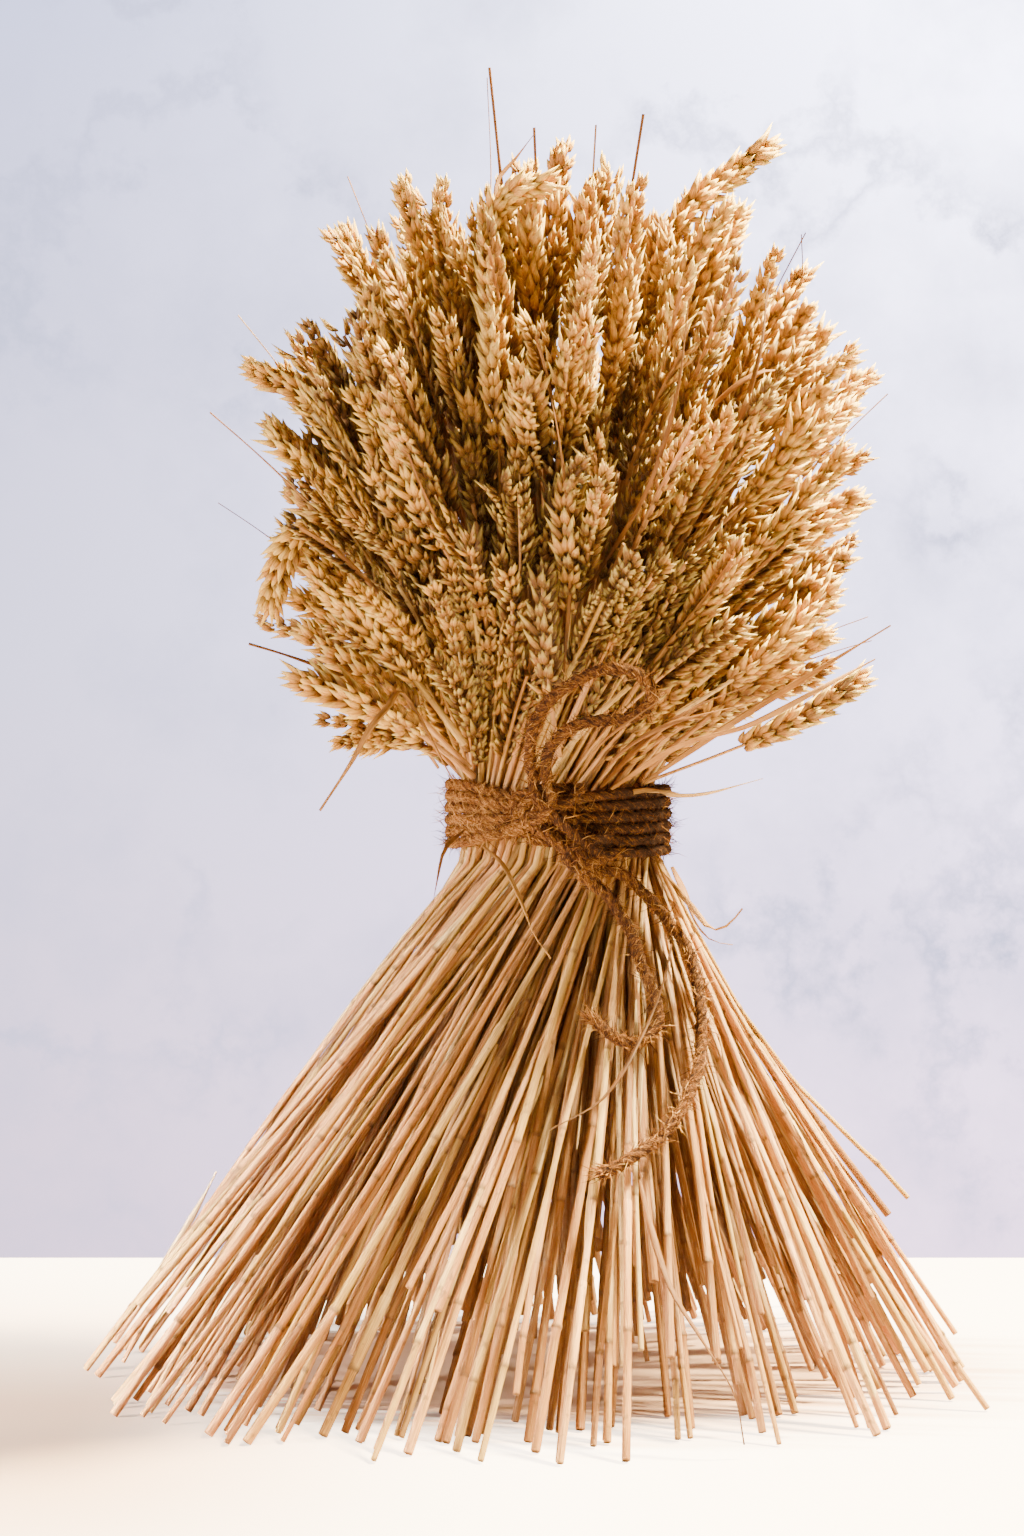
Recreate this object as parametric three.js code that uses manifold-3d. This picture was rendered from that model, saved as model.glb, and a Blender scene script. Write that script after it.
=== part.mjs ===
// A sheaf of dried bread wheat that stands on its splayed, twisted cut stems, tied with coir rope.
// Millimetres, +Z up, front towards -Y. The origin is on the floor under the middle of the sheaf.
// Each clump is a few stalks that hold together at the waist, where the rope packs them tight.

import * as THREE from 'three';
import { mergeVertices } from 'three/addons/utils/BufferGeometryUtils.js';
import Module from 'manifold-3d';

const wasm = await Module();
wasm.setup();

// Driving dimensions
const clumpCount = 40;
const stalksPerClump = 3;
const seed = 10;
const firstAngle = 195; // degrees, turns the whole pattern of clumps

const ropeBottom = 258; // the stems run upright between these two heights, inside the rope
const ropeTop = 291;
const waistRadius = 49.6; // the packed bundle inside the rope
const coreBottom = 267; // where the packed stems are one solid
const coreTop = 282;
const clumpGap = 0.7;

const clumpSpread = 43.5; // the outermost clump's centre, at the waist
const pinchedOffset = 3.2; // a stalk from its clump's centre inside the rope
const looseOffset = 4.9; // the same, for where the stalk goes above and below
const looseRadius = 46.6;

const footReach = [231, 217]; // the outermost feet from the middle of them all, across and in depth
const footShift = -13.5; // that middle is to the left of the waist
const frameShift = 14; // which puts the origin under the middle of the whole sheaf
const footTurn = -50; // degrees round the axis from the waist to the floor
const footJitter = 5;
const shortFoot = [5, 52]; // heights of the stem ends that don't reach the floor
const innerShare = 0.6; // no stem nearer the axis than this share of the bundle reaches the floor
const floorShare = 0.8; // of the others

const headHeight = 459; // centre of the ball of ears
const headRadius = 149;
const headSkirt = 26; // how far the lowest ears stand out past the ball
const skirtAngles = [112, 134]; // degrees from the top, where that starts and where it is all there
const headTurn = 35; // degrees round the axis from the waist to the ear tips
const headJitter = 2; // degrees
const headEdgeAngle = [127, 9]; // the lowest ears from the top, and how that swings round the head
const reachJitter = 6;
const leaveOutward = 0.35; // how an outer stalk leaves the rope, against its rise
const leaveSideways = 0.6;
const outwardBend = 0.3; // how far an ear leans away from the line out of the waist
const layerDepth = [0, 20, 42]; // how deep each stalk of a clump ends under the ball's surface
const innerDepth = 0.75; // those depths grow from the middle of the head to its edge
const outerDepth = 0.75;

const stemRadius = 2.9; // corner radius of the three-sided stem, 4.5 mm across
const waistStemRadius = 2.1;
const upperStemRadius = 2.5;
const neckRadius = 1.9;
const shortestNeck = 4; // from the rope to the ear, along the stalk
const longNeck = 60; // a longer one has a ring half way
const earLength = 94;
const earHalfWidth = 14;
const earInnerShare = 0.6; // the notch between two spikelets of one row
const earHalfThickness = 9.5;
const earSteps = [8, 8, 6]; // coarser in the deepest layer
const spikeletRise = 5; // a spikelet's point above its root

const leafHalfWidth = 2.4;
const leafHalfThickness = 0.6;
const leafOffset = 2; // from its clump's centre inside the rope
const leafRings = [0.03, 0.25, 0.5, 0.75, 0.9]; // shares of the way to the tip

const ropeRadius = 2.85;
const ropeTurns = 6;
const ropePitch = 5.85;
const stepsPerTurn = 20;
const ropeCentre = 275.5;
const windingRadius = 53.9; // the axis of the rope from the sheaf's axis
const knotAngle = -107; // degrees round the axis, at the front left
const knotPinch = 0.45; // how far the turns draw together at the knot
const knotPinchWidth = 0.5; // radians round the axis
const knotStepOut = 5; // every second turn lies on its neighbours there
const knotRadius = 4.5; // the knot is a few strands thick
const clearance = 0.35;

const straw = new THREE.MeshStandardMaterial({ color: 0xc9964f, roughness: 0.75, metalness: 0 });
const coir = new THREE.MeshStandardMaterial({ color: 0x8a5228, roughness: 0.95, metalness: 0 });

const sheaf = new THREE.Group();

// The same draws on every run
let state = seed;
function draw() {
  state = (state * 1664525 + 1013904223) % 4294967296;
  return state / 4294967296;
}
function drawBetween(low, high) {
  return low + (high - low) * draw();
}

const radians = THREE.MathUtils.degToRad;
const goldenTurn = Math.PI * (3 - Math.sqrt(5));
const up = new THREE.Vector3(0, 0, 1);

function polar(radius, angle) {
  return new THREE.Vector2(radius * Math.cos(angle), radius * Math.sin(angle));
}

const clumpCentres = Array.from({ length: clumpCount }, (_, i) =>
  polar(clumpSpread * Math.sqrt((i + 0.5) / (clumpCount - 0.5)), i * goldenTurn + radians(firstAngle)));

// The head is a ball whose lower edge hangs further at the sides than at the front
function headEdge(azimuth) {
  return radians(headEdgeAngle[0] + headEdgeAngle[1] * Math.cos(2 * azimuth));
}

// The way of a stalk from where it would stand if nothing drew the waist in
function upperCurve(loose, waist, extraReach) {
  const share = Math.min(loose.length() / looseRadius, 1.02);
  const azimuth = loose.angle() + radians(headTurn + drawBetween(-headJitter, headJitter));
  const polarAngle = Math.acos(1 - share * share * (1 - Math.cos(headEdge(azimuth))))
    + radians(drawBetween(-headJitter, headJitter));
  const reach = headRadius + extraReach
    + headSkirt * THREE.MathUtils.smoothstep(polarAngle, ...skirtAngles.map(radians));
  const tip = new THREE.Vector3().setFromSphericalCoords(reach, polarAngle, 0);
  tip.set(Math.cos(azimuth) * tip.z, Math.sin(azimuth) * tip.z, tip.y + headHeight);
  return curveTo(tip, share, waist);
}

function curveTo(tip, share, waist) {
  const start = new THREE.Vector3(waist.x, waist.y, ropeTop);
  const span = tip.distanceTo(start);
  const side = waist.angle();
  const leave = new THREE.Vector3(Math.cos(side) * leaveOutward - Math.sin(side) * leaveSideways,
    Math.sin(side) * leaveOutward + Math.cos(side) * leaveSideways, 0);
  leave.multiplyScalar(share).add(up).normalize();
  const outward = tip.clone().sub(new THREE.Vector3(0, 0, headHeight)).normalize();
  const arrive = tip.clone().sub(new THREE.Vector3(waist.x * 0.6, waist.y * 0.6, ropeTop))
    .normalize().addScaledVector(outward, outwardBend).normalize();
  return new THREE.CubicBezierCurve3(start,
    start.clone().addScaledVector(leave, span * 0.3),
    tip.clone().addScaledVector(arrive, -span * 0.45), tip);
}

// A station is one ring of a stalk: its middle, the way it faces, its radius and its kind
function station(point, facing, radius, kind) {
  return { point, facing, radius, kind, scale: 1 };
}

function lowerStations(loose, waist) {
  const share = loose.length() / looseRadius;
  const foot = polar(share, loose.angle() + radians(footTurn));
  foot.set(foot.x * footReach[0] + footShift, foot.y * footReach[1]);
  foot.x += drawBetween(-footJitter, footJitter);
  foot.y += drawBetween(-footJitter, footJitter);
  const shortHeight = drawBetween(...shortFoot);
  const height = draw() < floorShare && share > innerShare ? 0 : shortHeight;
  const top = new THREE.Vector3(waist.x, waist.y, ropeBottom);
  const end = top.clone().lerp(new THREE.Vector3(foot.x, foot.y, 0), 1 - height / ropeBottom);
  return [station(end, up, stemRadius, 'stem'), station(top, up, waistStemRadius, 'stem'),
    station(new THREE.Vector3(waist.x, waist.y, ropeTop), up, waistStemRadius, 'stem')];
}

// Widest past its middle, where its neighbours leave room
function earShape(along) {
  return 0.5 + 1.3 * along - 1.15 * along ** 3;
}

function earStations(curve, depth, steps) {
  const whole = curve.getLength();
  const length = whole - depth;
  const neck = length - earLength;
  const at = (distance, radius, kind) => station(curve.getPointAt(distance / whole),
    curve.getTangentAt(distance / whole), radius, kind);
  const rings = [];
  const from = Math.max(neck, shortestNeck);
  if (from > longNeck) rings.push(at(from / 2, upperStemRadius, 'stem'));
  rings.push(at(from, neckRadius, 'stem'));
  for (let k = 1; k < steps; k += 1) {
    rings.push(at(from + (length - from) * k / steps, earHalfWidth * earShape(k / steps),
      k % 2 ? 'left' : 'right'));
  }
  rings.push(at(length, 0, 'tip'));
  return rings;
}

function makeStalk(centre, place) {
  const around = centre.angle() + place * 2 * Math.PI / stalksPerClump + 0.5;
  const waist = centre.clone().add(polar(pinchedOffset, around));
  const loose = centre.clone().add(polar(looseOffset, around));
  const rings = lowerStations(loose, waist);
  const curve = upperCurve(loose, waist, drawBetween(-reachJitter, reachJitter));
  const depth = layerDepth[place] * (innerDepth + outerDepth * (loose.length() / looseRadius) ** 2);
  rings.push(...earStations(curve, depth, earSteps[place]));
  return { rings, roll: drawBetween(0, Math.PI) };
}

// Long dried leaves, each given by where its tip stands out of the head
const leafTips = [
  [-34, -40, 641], [-12, -20, 616], [-104, -20, 592], [-112, 10, 572], [-159, -10, 525],
  [-174, 0, 478], [-168, -20, 431], [-152, -30, 361], [40, -60, 614], [122, -20, 564],
  [165, 0, 487], [144, -40, 409], [158, 10, 364], [90, 90, 590], [-20, 120, 600],
  [-100, 130, 500], [60, 160, 480], [150, 80, 520], [20, 30, 628],
];

function makeLeaf(tip) {
  const target = new THREE.Vector3(...tip);
  const outward = target.clone().sub(new THREE.Vector3(0, 0, headHeight));
  const azimuth = Math.atan2(outward.y, outward.x);
  const polarAngle = Math.acos(outward.z / outward.length());
  const share = Math.min(Math.sqrt((1 - Math.cos(polarAngle)) / (1 - Math.cos(headEdge(azimuth)))), 1);
  const loose = polar(share * looseRadius, azimuth - radians(headTurn));
  let clump = 0;
  clumpCentres.forEach((centre, i) => {
    if (centre.distanceTo(loose) < clumpCentres[clump].distanceTo(loose)) clump = i;
  });
  const centre = clumpCentres[clump];
  const toward = loose.clone().sub(centre);
  const waist = centre.clone().addScaledVector(toward.normalize(), leafOffset);
  const curve = curveTo(target, share, waist);
  const root = new THREE.Vector3(waist.x, waist.y, (coreBottom + coreTop) / 2);
  const rings = [station(root, up, leafHalfWidth / 2, 'leaf')];
  for (const at of leafRings) {
    rings.push(station(curve.getPointAt(at), curve.getTangentAt(at), leafHalfWidth, 'leaf'));
  }
  rings.push(station(curve.getPointAt(1), curve.getTangentAt(1), 0, 'tip'));
  return { clump, rings, roll: drawBetween(0, Math.PI) };
}

// The rope's parts, as lists of points that the tubes follow
function windingPath() {
  const points = [];
  for (let i = 0; i <= ropeTurns * stepsPerTurn; i += 1) {
    const turn = i / stepsPerTurn;
    const angle = radians(knotAngle) + turn * 2 * Math.PI;
    const off = Math.PI - Math.abs(Math.PI - (turn % 1) * 2 * Math.PI);
    const near = Math.exp(-((off / knotPinchWidth) ** 2));
    const spread = ropePitch * (1 - knotPinch * near);
    const stepOut = Math.round(turn) % 2 ? near * knotStepOut : 0;
    const radius = windingRadius + stepOut;
    points.push(new THREE.Vector3(radius * Math.cos(angle), radius * Math.sin(angle),
      ropeCentre + (turn - ropeTurns / 2) * spread));
  }
  return points;
}

const tailOne = [
  [14, -60.5, 244.5], [22, -61, 240], [28, -62, 231], [34, -65, 221], [38, -71, 208], [42, -76, 198],
  [45, -80, 190], [46, -85, 182], [42, -91, 175], [35, -95, 171], [27, -97, 173], [20, -97, 178],
  [14, -95, 184],
];
const tailTwo = [
  [19.3, -60.4, 250.4], [27, -57.5, 250], [34, -54.5, 246], [40, -51.5, 240], [47, -49, 233],
  [53, -48, 225], [60, -48, 216], [64, -51, 207], [66, -58, 197], [67, -67, 187], [67, -75, 176],
  [66, -84, 166], [64, -93, 157], [60, -102, 149], [55, -111, 141], [48, -119, 133], [40, -127, 127],
  [31, -133, 122], [23, -137, 118], [16, -140, 116],
];
const bowLoop = [
  [-12.8, -66.5, 293.1], [-14.2, -70, 300], [-14.5, -76, 309], [-13.5, -84, 318], [-9.5, -92, 327],
  [-3, -99, 334], [6, -105, 340], [17, -109, 345], [28, -110.5, 346], [37, -109, 342.5],
  [42, -105, 335.5], [40, -100, 328], [32, -96, 323.5], [21, -93, 322.5], [10, -90, 321],
  [1, -85, 316.5], [-5, -79, 309.5], [-7, -73, 301], [-6.2, -67.5, 293.3],
];
const knotWrap = [
  [-3, -65.5, 288], [-13, -65, 288], [-21, -62.8, 283], [-18.5, -63.6, 276], [-8, -65.6, 268],
  [2, -65.2, 261], [11, -63.5, 255], [18, -61, 251],
];

const toPoints = (list) => list.map((p) => new THREE.Vector3(...p));

function tubeAlong(points, radius, sides, steps) {
  const section = new THREE.Shape();
  for (let i = 0; i < sides; i += 1) {
    const corner = polar(radius, i * 2 * Math.PI / sides);
    if (i === 0) section.moveTo(corner.x, corner.y);
    else section.lineTo(corner.x, corner.y);
  }
  section.closePath();
  return new THREE.ExtrudeGeometry(section, {
    steps, bevelEnabled: false, extrudePath: new THREE.CatmullRomCurve3(points),
  });
}

// The squeeze: where stalks of two clumps come near, both are made slimmer, and clear of the rope
function segmentsOf(stalk, clump) {
  const list = [];
  for (let k = 0; k + 1 < stalk.rings.length; k += 1) {
    const a = stalk.rings[k];
    const b = stalk.rings[k + 1];
    list.push({ clump, a, b, reach: Math.max(a.radius, b.radius) });
  }
  return list;
}

function distanceBetween(p1, q1, p2, q2) {
  const d1 = q1.clone().sub(p1);
  const d2 = q2.clone().sub(p2);
  const r = p1.clone().sub(p2);
  const a = d1.dot(d1);
  const e = d2.dot(d2);
  const f = d2.dot(r);
  const c = d1.dot(r);
  const b = d1.dot(d2);
  const denominator = a * e - b * b;
  const clamp = (x) => Math.min(Math.max(x, 0), 1);
  let s = denominator > 1e-9 ? clamp((b * f - c * e) / denominator) : 0;
  let t = (b * s + f) / e;
  if (t < 0 || t > 1) {
    t = clamp(t);
    s = clamp((b * t - c) / a);
  }
  return p1.clone().addScaledVector(d1, s).distanceTo(p2.clone().addScaledVector(d2, t));
}

function squeeze(segments, ropeSegments) {
  for (let i = 0; i < segments.length; i += 1) {
    const one = segments[i];
    for (let j = i + 1; j < segments.length; j += 1) {
      const other = segments[j];
      if (one.clump !== other.clump) {
        const apart = distanceBetween(one.a.point, one.b.point, other.a.point, other.b.point);
        const both = one.reach + other.reach;
        if (apart < both + clearance) slim([one, other], (apart - clearance) / both);
      }
    }
    for (const rope of ropeSegments) {
      const apart = distanceBetween(one.a.point, one.b.point, rope.from, rope.to);
      const left = apart - rope.radius - clearance;
      if (left < one.reach) slim([one], left / one.reach);
    }
  }
}

function slim(pair, share) {
  for (const segment of pair) {
    segment.a.scale = Math.min(segment.a.scale, share);
    segment.b.scale = Math.min(segment.b.scale, share);
  }
}

// A loft through rings of points, each ring turning the same way seen from its tip
function ringOf(ring, roll) {
  const along = ring.facing;
  const reference = new THREE.Vector3(Math.cos(roll), Math.sin(roll), 0.2);
  const wide = reference.addScaledVector(along, -reference.dot(along)).normalize();
  const thick = along.clone().cross(wide);
  const radius = ring.radius * ring.scale;
  const corner = (x, y, rise) => ring.point.clone().addScaledVector(wide, x)
    .addScaledVector(thick, y).addScaledVector(along, rise);
  if (ring.kind === 'tip') return [{ turn: 0, point: ring.point.clone() }];
  if (ring.kind === 'stem') {
    return [0, 1, 2].map((k) => {
      const turn = k * 2 * Math.PI / 3;
      return { turn, point: corner(radius * Math.cos(turn), radius * Math.sin(turn), 0) };
    });
  }
  if (ring.kind === 'leaf') {
    const thin = leafHalfThickness;
    return [[radius, 0], [0, thin], [-radius, 0], [0, -thin]].map(([x, y], k) =>
      ({ turn: k * Math.PI / 2, point: corner(x, y, 0) }));
  }
  const thickness = earHalfThickness * ring.radius * ring.scale / earHalfWidth;
  const right = ring.kind === 'right' ? 1 : earInnerShare;
  const left = ring.kind === 'left' ? 1 : earInnerShare;
  const rise = (share) => (share === 1 ? spikeletRise : -spikeletRise * 0.3);
  return [[radius * right, 0, rise(right)], [0, thickness, 0], [-radius * left, 0, rise(left)],
    [0, -thickness, 0]].map(([x, y, z], k) => ({ turn: k * Math.PI / 2, point: corner(x, y, z) }));
}

function loft(stalk) {
  const positions = [];
  const triangle = (a, b, c) => [a, b, c].forEach((p) => positions.push(p.x, p.y, p.z));
  const rings = stalk.rings.map((ring) => ringOf(ring, stalk.roll));
  const first = rings[0];
  for (let k = 1; k + 1 < first.length; k += 1) {
    triangle(first[0].point, first[k + 1].point, first[k].point);
  }
  for (let k = 0; k + 1 < rings.length; k += 1) {
    const below = rings[k];
    const above = rings[k + 1];
    const turnOf = (ring, index) => (index < ring.length ? ring[index].turn : 2 * Math.PI);
    let i = 0;
    let j = 0;
    while (i < below.length || (j < above.length && above.length > 1)) {
      const a = below[i % below.length].point;
      const b = above[j % above.length].point;
      const nextBelow = i < below.length ? turnOf(below, i + 1) : Infinity;
      const nextAbove = j < above.length && above.length > 1 ? turnOf(above, j + 1) : Infinity;
      if (nextBelow <= nextAbove) {
        i += 1;
        triangle(a, below[i % below.length].point, b);
      } else {
        j += 1;
        triangle(a, above[j % above.length].point, b);
      }
    }
  }
  const geometry = new THREE.BufferGeometry();
  geometry.setAttribute('position', new THREE.Float32BufferAttribute(positions, 3));
  return geometry;
}

// The waist solid of a clump fills its share of the packed bundle, up to its neighbours
function waistCell(index) {
  const sides = 20;
  const outline = waistRadius / Math.cos(Math.PI / sides);
  let cell = Array.from({ length: sides }, (_, k) => polar(outline, k * 2 * Math.PI / sides));
  const centre = clumpCentres[index];
  clumpCentres.forEach((other, k) => {
    if (k === index) return;
    const away = other.clone().sub(centre).normalize();
    const limit = (other.clone().add(centre).multiplyScalar(0.5)).dot(away) - clumpGap / 2;
    cell = clip(cell, away, limit);
  });
  return cell;
}

function clip(polygon, away, limit) {
  const kept = [];
  polygon.forEach((p, k) => {
    const q = polygon[(k + 1) % polygon.length];
    const from = p.dot(away) - limit;
    const to = q.dot(away) - limit;
    if (from <= 0) kept.push(p);
    if ((from < 0 && to > 0) || (from > 0 && to < 0)) kept.push(p.clone().lerp(q, from / (from - to)));
  });
  return kept;
}

function coreGeometry(index) {
  const shape = new THREE.Shape(waistCell(index));
  const geometry = new THREE.ExtrudeGeometry(shape, { depth: coreTop - coreBottom, bevelEnabled: false });
  return geometry.translate(0, 0, coreBottom);
}

function toSolid(geometry) {
  geometry.deleteAttribute('normal');
  geometry.deleteAttribute('uv');
  const merged = mergeVertices(geometry, 1e-4);
  return new wasm.Manifold(new wasm.Mesh({
    numProp: 3,
    vertProperties: new Float32Array(merged.attributes.position.array),
    triVerts: new Uint32Array(merged.index.array),
  }));
}

function fromSolid(solid) {
  const mesh = solid.getMesh();
  const geometry = new THREE.BufferGeometry();
  geometry.setAttribute('position', new THREE.BufferAttribute(mesh.vertProperties, 3));
  geometry.setIndex(new THREE.BufferAttribute(mesh.triVerts, 1));
  geometry.computeVertexNormals();
  return geometry;
}

// Joining can leave a scrap of no thickness, which is dropped
function mainBody(solid) {
  return solid.decompose().reduce((main, body) => (body.volume() > main.volume() ? body : main));
}

function addPiece(name, geometry, material) {
  const mesh = new THREE.Mesh(geometry.translate(frameShift, 0, 0), material);
  mesh.name = name;
  sheaf.add(mesh);
}

const clumps = clumpCentres.map((centre) =>
  Array.from({ length: stalksPerClump }, (_, place) => makeStalk(centre, place)));
leafTips.forEach((tip) => {
  const leaf = makeLeaf(tip);
  clumps[leaf.clump].push(leaf);
});

const ropes = [
  ['tie_winding', windingPath(), ropeRadius, 6, ropeTurns * stepsPerTurn],
  ['tie_knot', toPoints(knotWrap), knotRadius, 8, 14],
  ['tie_tail_short', toPoints(tailOne), ropeRadius, 8, 16],
  ['tie_tail_long', toPoints(tailTwo), ropeRadius, 8, 22],
  ['tie_bow_loop', toPoints(bowLoop), ropeRadius, 8, 26],
];
const ropeSegments = ropes.slice(1).flatMap(([, points, radius]) => {
  const path = new THREE.CatmullRomCurve3(points).getSpacedPoints(30);
  return path.slice(1).map((to, k) => ({ from: path[k], to, radius }));
});

squeeze(clumps.flatMap((stalks, i) => stalks.flatMap((stalk) => segmentsOf(stalk, i))), ropeSegments);

clumps.forEach((stalks, i) => {
  const whole = stalks.reduce((solid, stalk) => solid.add(toSolid(loft(stalk))),
    toSolid(coreGeometry(i)));
  addPiece(`stalk_clump_${String(i + 1).padStart(2, '0')}`, fromSolid(mainBody(whole)), straw);
});
for (const [name, points, radius, sides, steps] of ropes) {
  addPiece(name, tubeAlong(points, radius, sides, steps), coir);
}

export default sheaf;
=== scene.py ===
import math

import bpy
import numpy as np
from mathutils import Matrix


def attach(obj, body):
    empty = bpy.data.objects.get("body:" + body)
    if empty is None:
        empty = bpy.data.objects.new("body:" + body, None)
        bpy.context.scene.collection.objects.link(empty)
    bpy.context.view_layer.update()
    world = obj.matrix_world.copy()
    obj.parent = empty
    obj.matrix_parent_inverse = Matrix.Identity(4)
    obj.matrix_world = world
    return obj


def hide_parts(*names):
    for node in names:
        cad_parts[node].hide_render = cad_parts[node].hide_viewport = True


# A sheaf of dried bread wheat on its splayed stems, tied with coir rope.
# Every length in the dictionaries is in millimetres, in the CAD's frame, and mm turns it into metres.
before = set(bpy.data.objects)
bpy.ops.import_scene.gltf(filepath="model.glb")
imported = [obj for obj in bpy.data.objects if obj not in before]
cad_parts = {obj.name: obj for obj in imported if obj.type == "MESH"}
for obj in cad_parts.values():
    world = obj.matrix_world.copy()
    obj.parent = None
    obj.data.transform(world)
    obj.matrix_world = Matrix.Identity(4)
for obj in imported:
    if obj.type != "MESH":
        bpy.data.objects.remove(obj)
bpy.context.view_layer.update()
mm = 0.001
upward = np.array([0.0, 0.0, 1.0])
waistPlace = np.array([14.0, 0.0, 0.0])  # the axis of the waist, from which all routes are measured

# What the trees need to know at each point of a run, and which of these values are directions
pathFacts = ["kind", "girth", "inset", "tone", "along", "knob", "size", "heading", "wide"]
directions = ["heading", "wide", "round", "fibre"]


def kindOf(name):
    return "FLOAT_VECTOR" if name in directions else "FLOAT"


class Socket:
    # An output socket, so that maths on it reads as Python
    def __init__(self, net, socket):
        self.net = net
        self.socket = socket

    def __add__(self, other):
        return self.net.math("ADD", self, other)

    def __sub__(self, other):
        return self.net.math("SUBTRACT", self, other)

    def __rsub__(self, other):
        return self.net.math("SUBTRACT", other, self)

    def __mul__(self, other):
        return self.net.math("MULTIPLY", self, other)

    def __truediv__(self, other):
        return self.net.math("DIVIDE", self, other)

    def __pow__(self, other):
        return self.net.math("POWER", self, other)

    def __getitem__(self, key):
        return Socket(self.net, self.socket.node.outputs[key])  # another output of the same node

    __radd__ = __add__
    __rmul__ = __mul__


class Net:
    # Adds nodes to one tree: settings first, then the values or links of the sockets
    def __init__(self, tree):
        self.tree = tree

    def node(self, kind, settings={}, inputs={}, out=0):
        made = self.tree.nodes.new(kind)
        for key, value in settings.items():
            setattr(made, key, value)
        self.fill(made, inputs)
        return Socket(self, made.outputs[out]) if made.outputs else None

    def fill(self, node, inputs):
        for key, value in inputs.items():
            for one in value if isinstance(value, list) else [value]:
                if isinstance(one, Socket):
                    self.tree.links.new(one.socket, node.inputs[key])
                else:
                    node.inputs[key].default_value = one

    def math(self, operation, *values):
        return self.node("ShaderNodeMath", {"operation": operation}, dict(enumerate(values)))

    def vector(self, operation, *values):
        return self.node("ShaderNodeVectorMath", {"operation": operation}, dict(enumerate(values)))

    def scaled(self, vector, size):
        return self.node("ShaderNodeVectorMath", {"operation": "SCALE"}, {0: vector, "Scale": size})

    def combine(self, **parts):
        return self.node("ShaderNodeCombineXYZ", {}, parts)

    def split(self, vector):
        return self.node("ShaderNodeSeparateXYZ", {}, {0: vector})

    def remap(self, value, low, high, toLow=0.0, toHigh=1.0, shape="LINEAR"):
        return self.node("ShaderNodeMapRange", {"interpolation_type": shape}, {
            "Value": value, 1: low, 2: high, 3: toLow, 4: toHigh})

    def noise(self, place, scale, detail=2.0, roughness=0.5):
        return self.node("ShaderNodeTexNoise", {}, {
            "Vector": place, "Scale": scale, "Detail": detail, "Roughness": roughness})

    def fact(self, name):
        # What a run or a tree has written at each point
        if self.tree.type == "GEOMETRY":
            return self.node("GeometryNodeInputNamedAttribute", {"data_type": kindOf(name)}, {"Name": name})
        out = "Vector" if name in directions else "Fac"
        return self.node("ShaderNodeAttribute", {"attribute_name": name}, {}, out)

    # The next ones are for materials; a colour is a link, or its red, green and blue

    def place(self):
        return self.node("ShaderNodeTexCoord", {}, {}, "Object")

    def mix(self, share, *colours):
        one, other = [(*colour, 1.0) if isinstance(colour, tuple) else colour for colour in colours]
        return self.node("ShaderNodeMix", {"data_type": "RGBA"}, {0: share, 6: one, 7: other}, 2)

    def stained(self, colour, *layers):
        # Each layer: what it follows, where that starts and is full, how strong it is, its colour
        for source, low, high, share, tint in layers:
            colour = self.mix(self.remap(source, low, high) * share, colour, tint)
        return colour

    def ramp(self, value, *stops):
        # Each stop: its place and its colour
        made = self.node("ShaderNodeValToRGB", {}, {0: value})
        elements = made.socket.node.color_ramp.elements
        while len(elements) < len(stops):
            elements.new(1.0)
        for element, (place, *colour) in zip(elements, stops):
            element.position = place
            element.color = (*colour, 1.0)
        return made

    # The next ones are for Geometry Nodes

    def store(self, geometry, name, value, domain="POINT"):
        return self.node("GeometryNodeStoreNamedAttribute", {"data_type": kindOf(name), "domain": domain},
                         {"Geometry": geometry, "Name": name, "Value": value})

    def random(self, low, high, seed):
        kind, first, out = {int: ("INT", 4, 2), float: ("FLOAT", 2, 1),
                            tuple: ("FLOAT_VECTOR", 0, 0)}[type(low)]
        return self.node("FunctionNodeRandomValue", {"data_type": kind}, {
            first: low, first + 1: high, 8: seed}, out)

    def moved(self, geometry, **change):
        return self.node("GeometryNodeSetPosition", {}, {"Geometry": geometry, **change})

    def ring(self, sides):
        return self.node("GeometryNodeCurvePrimitiveCircle", {"mode": "RADIUS"}, {
            "Resolution": sides, "Radius": 1.0})

    def swept(self, curve, ring, size):
        return self.node("GeometryNodeCurveToMesh", {}, {
            "Curve": curve, "Profile Curve": ring, "Scale": size, "Fill Caps": True})

    def grained(self, geometry, across, shift, stretch):
        # Places on the strand itself, across and along, for the fibres in the materials
        rise = self.combine(X=self.fact("tone") * shift, Z=self.fact("along") * stretch)
        flat = self.scaled(self.fact("round"), across)
        return self.store(geometry, "fibre", self.vector("ADD", flat, rise))

    def planted(self, points, things, upright, front, size, seed):
        # One of the things on each point, picked at random, with its Z axis upright
        turned = self.node("FunctionNodeAxesToRotation", {"primary_axis": "Z", "secondary_axis": "X"},
                           {"Primary Axis": upright, "Secondary Axis": front})
        kinds = [self.node("GeometryNodeObjectInfo", {}, {"Object": thing, "As Instance": True}, "Geometry")
                 for thing in things]
        return self.node("GeometryNodeInstanceOnPoints", {}, {
            "Points": points, "Instance": self.node("GeometryNodeJoinGeometry", {}, {"Geometry": kinds}),
            "Pick Instance": True, "Instance Index": self.random(0, len(things) - 1, seed),
            "Rotation": turned, "Scale": size})

    def solid(self, geometry, material):
        geometry = self.node("GeometryNodeRealizeInstances", {}, {"Geometry": geometry})
        geometry = self.node("GeometryNodeSetShadeSmooth", {}, {"Geometry": geometry})
        return self.node("GeometryNodeSetMaterial", {}, {"Geometry": geometry, "Material": material})

    def close(self, geometry):
        self.node("NodeGroupOutput", {}, {0: geometry})
        return self.tree


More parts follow.
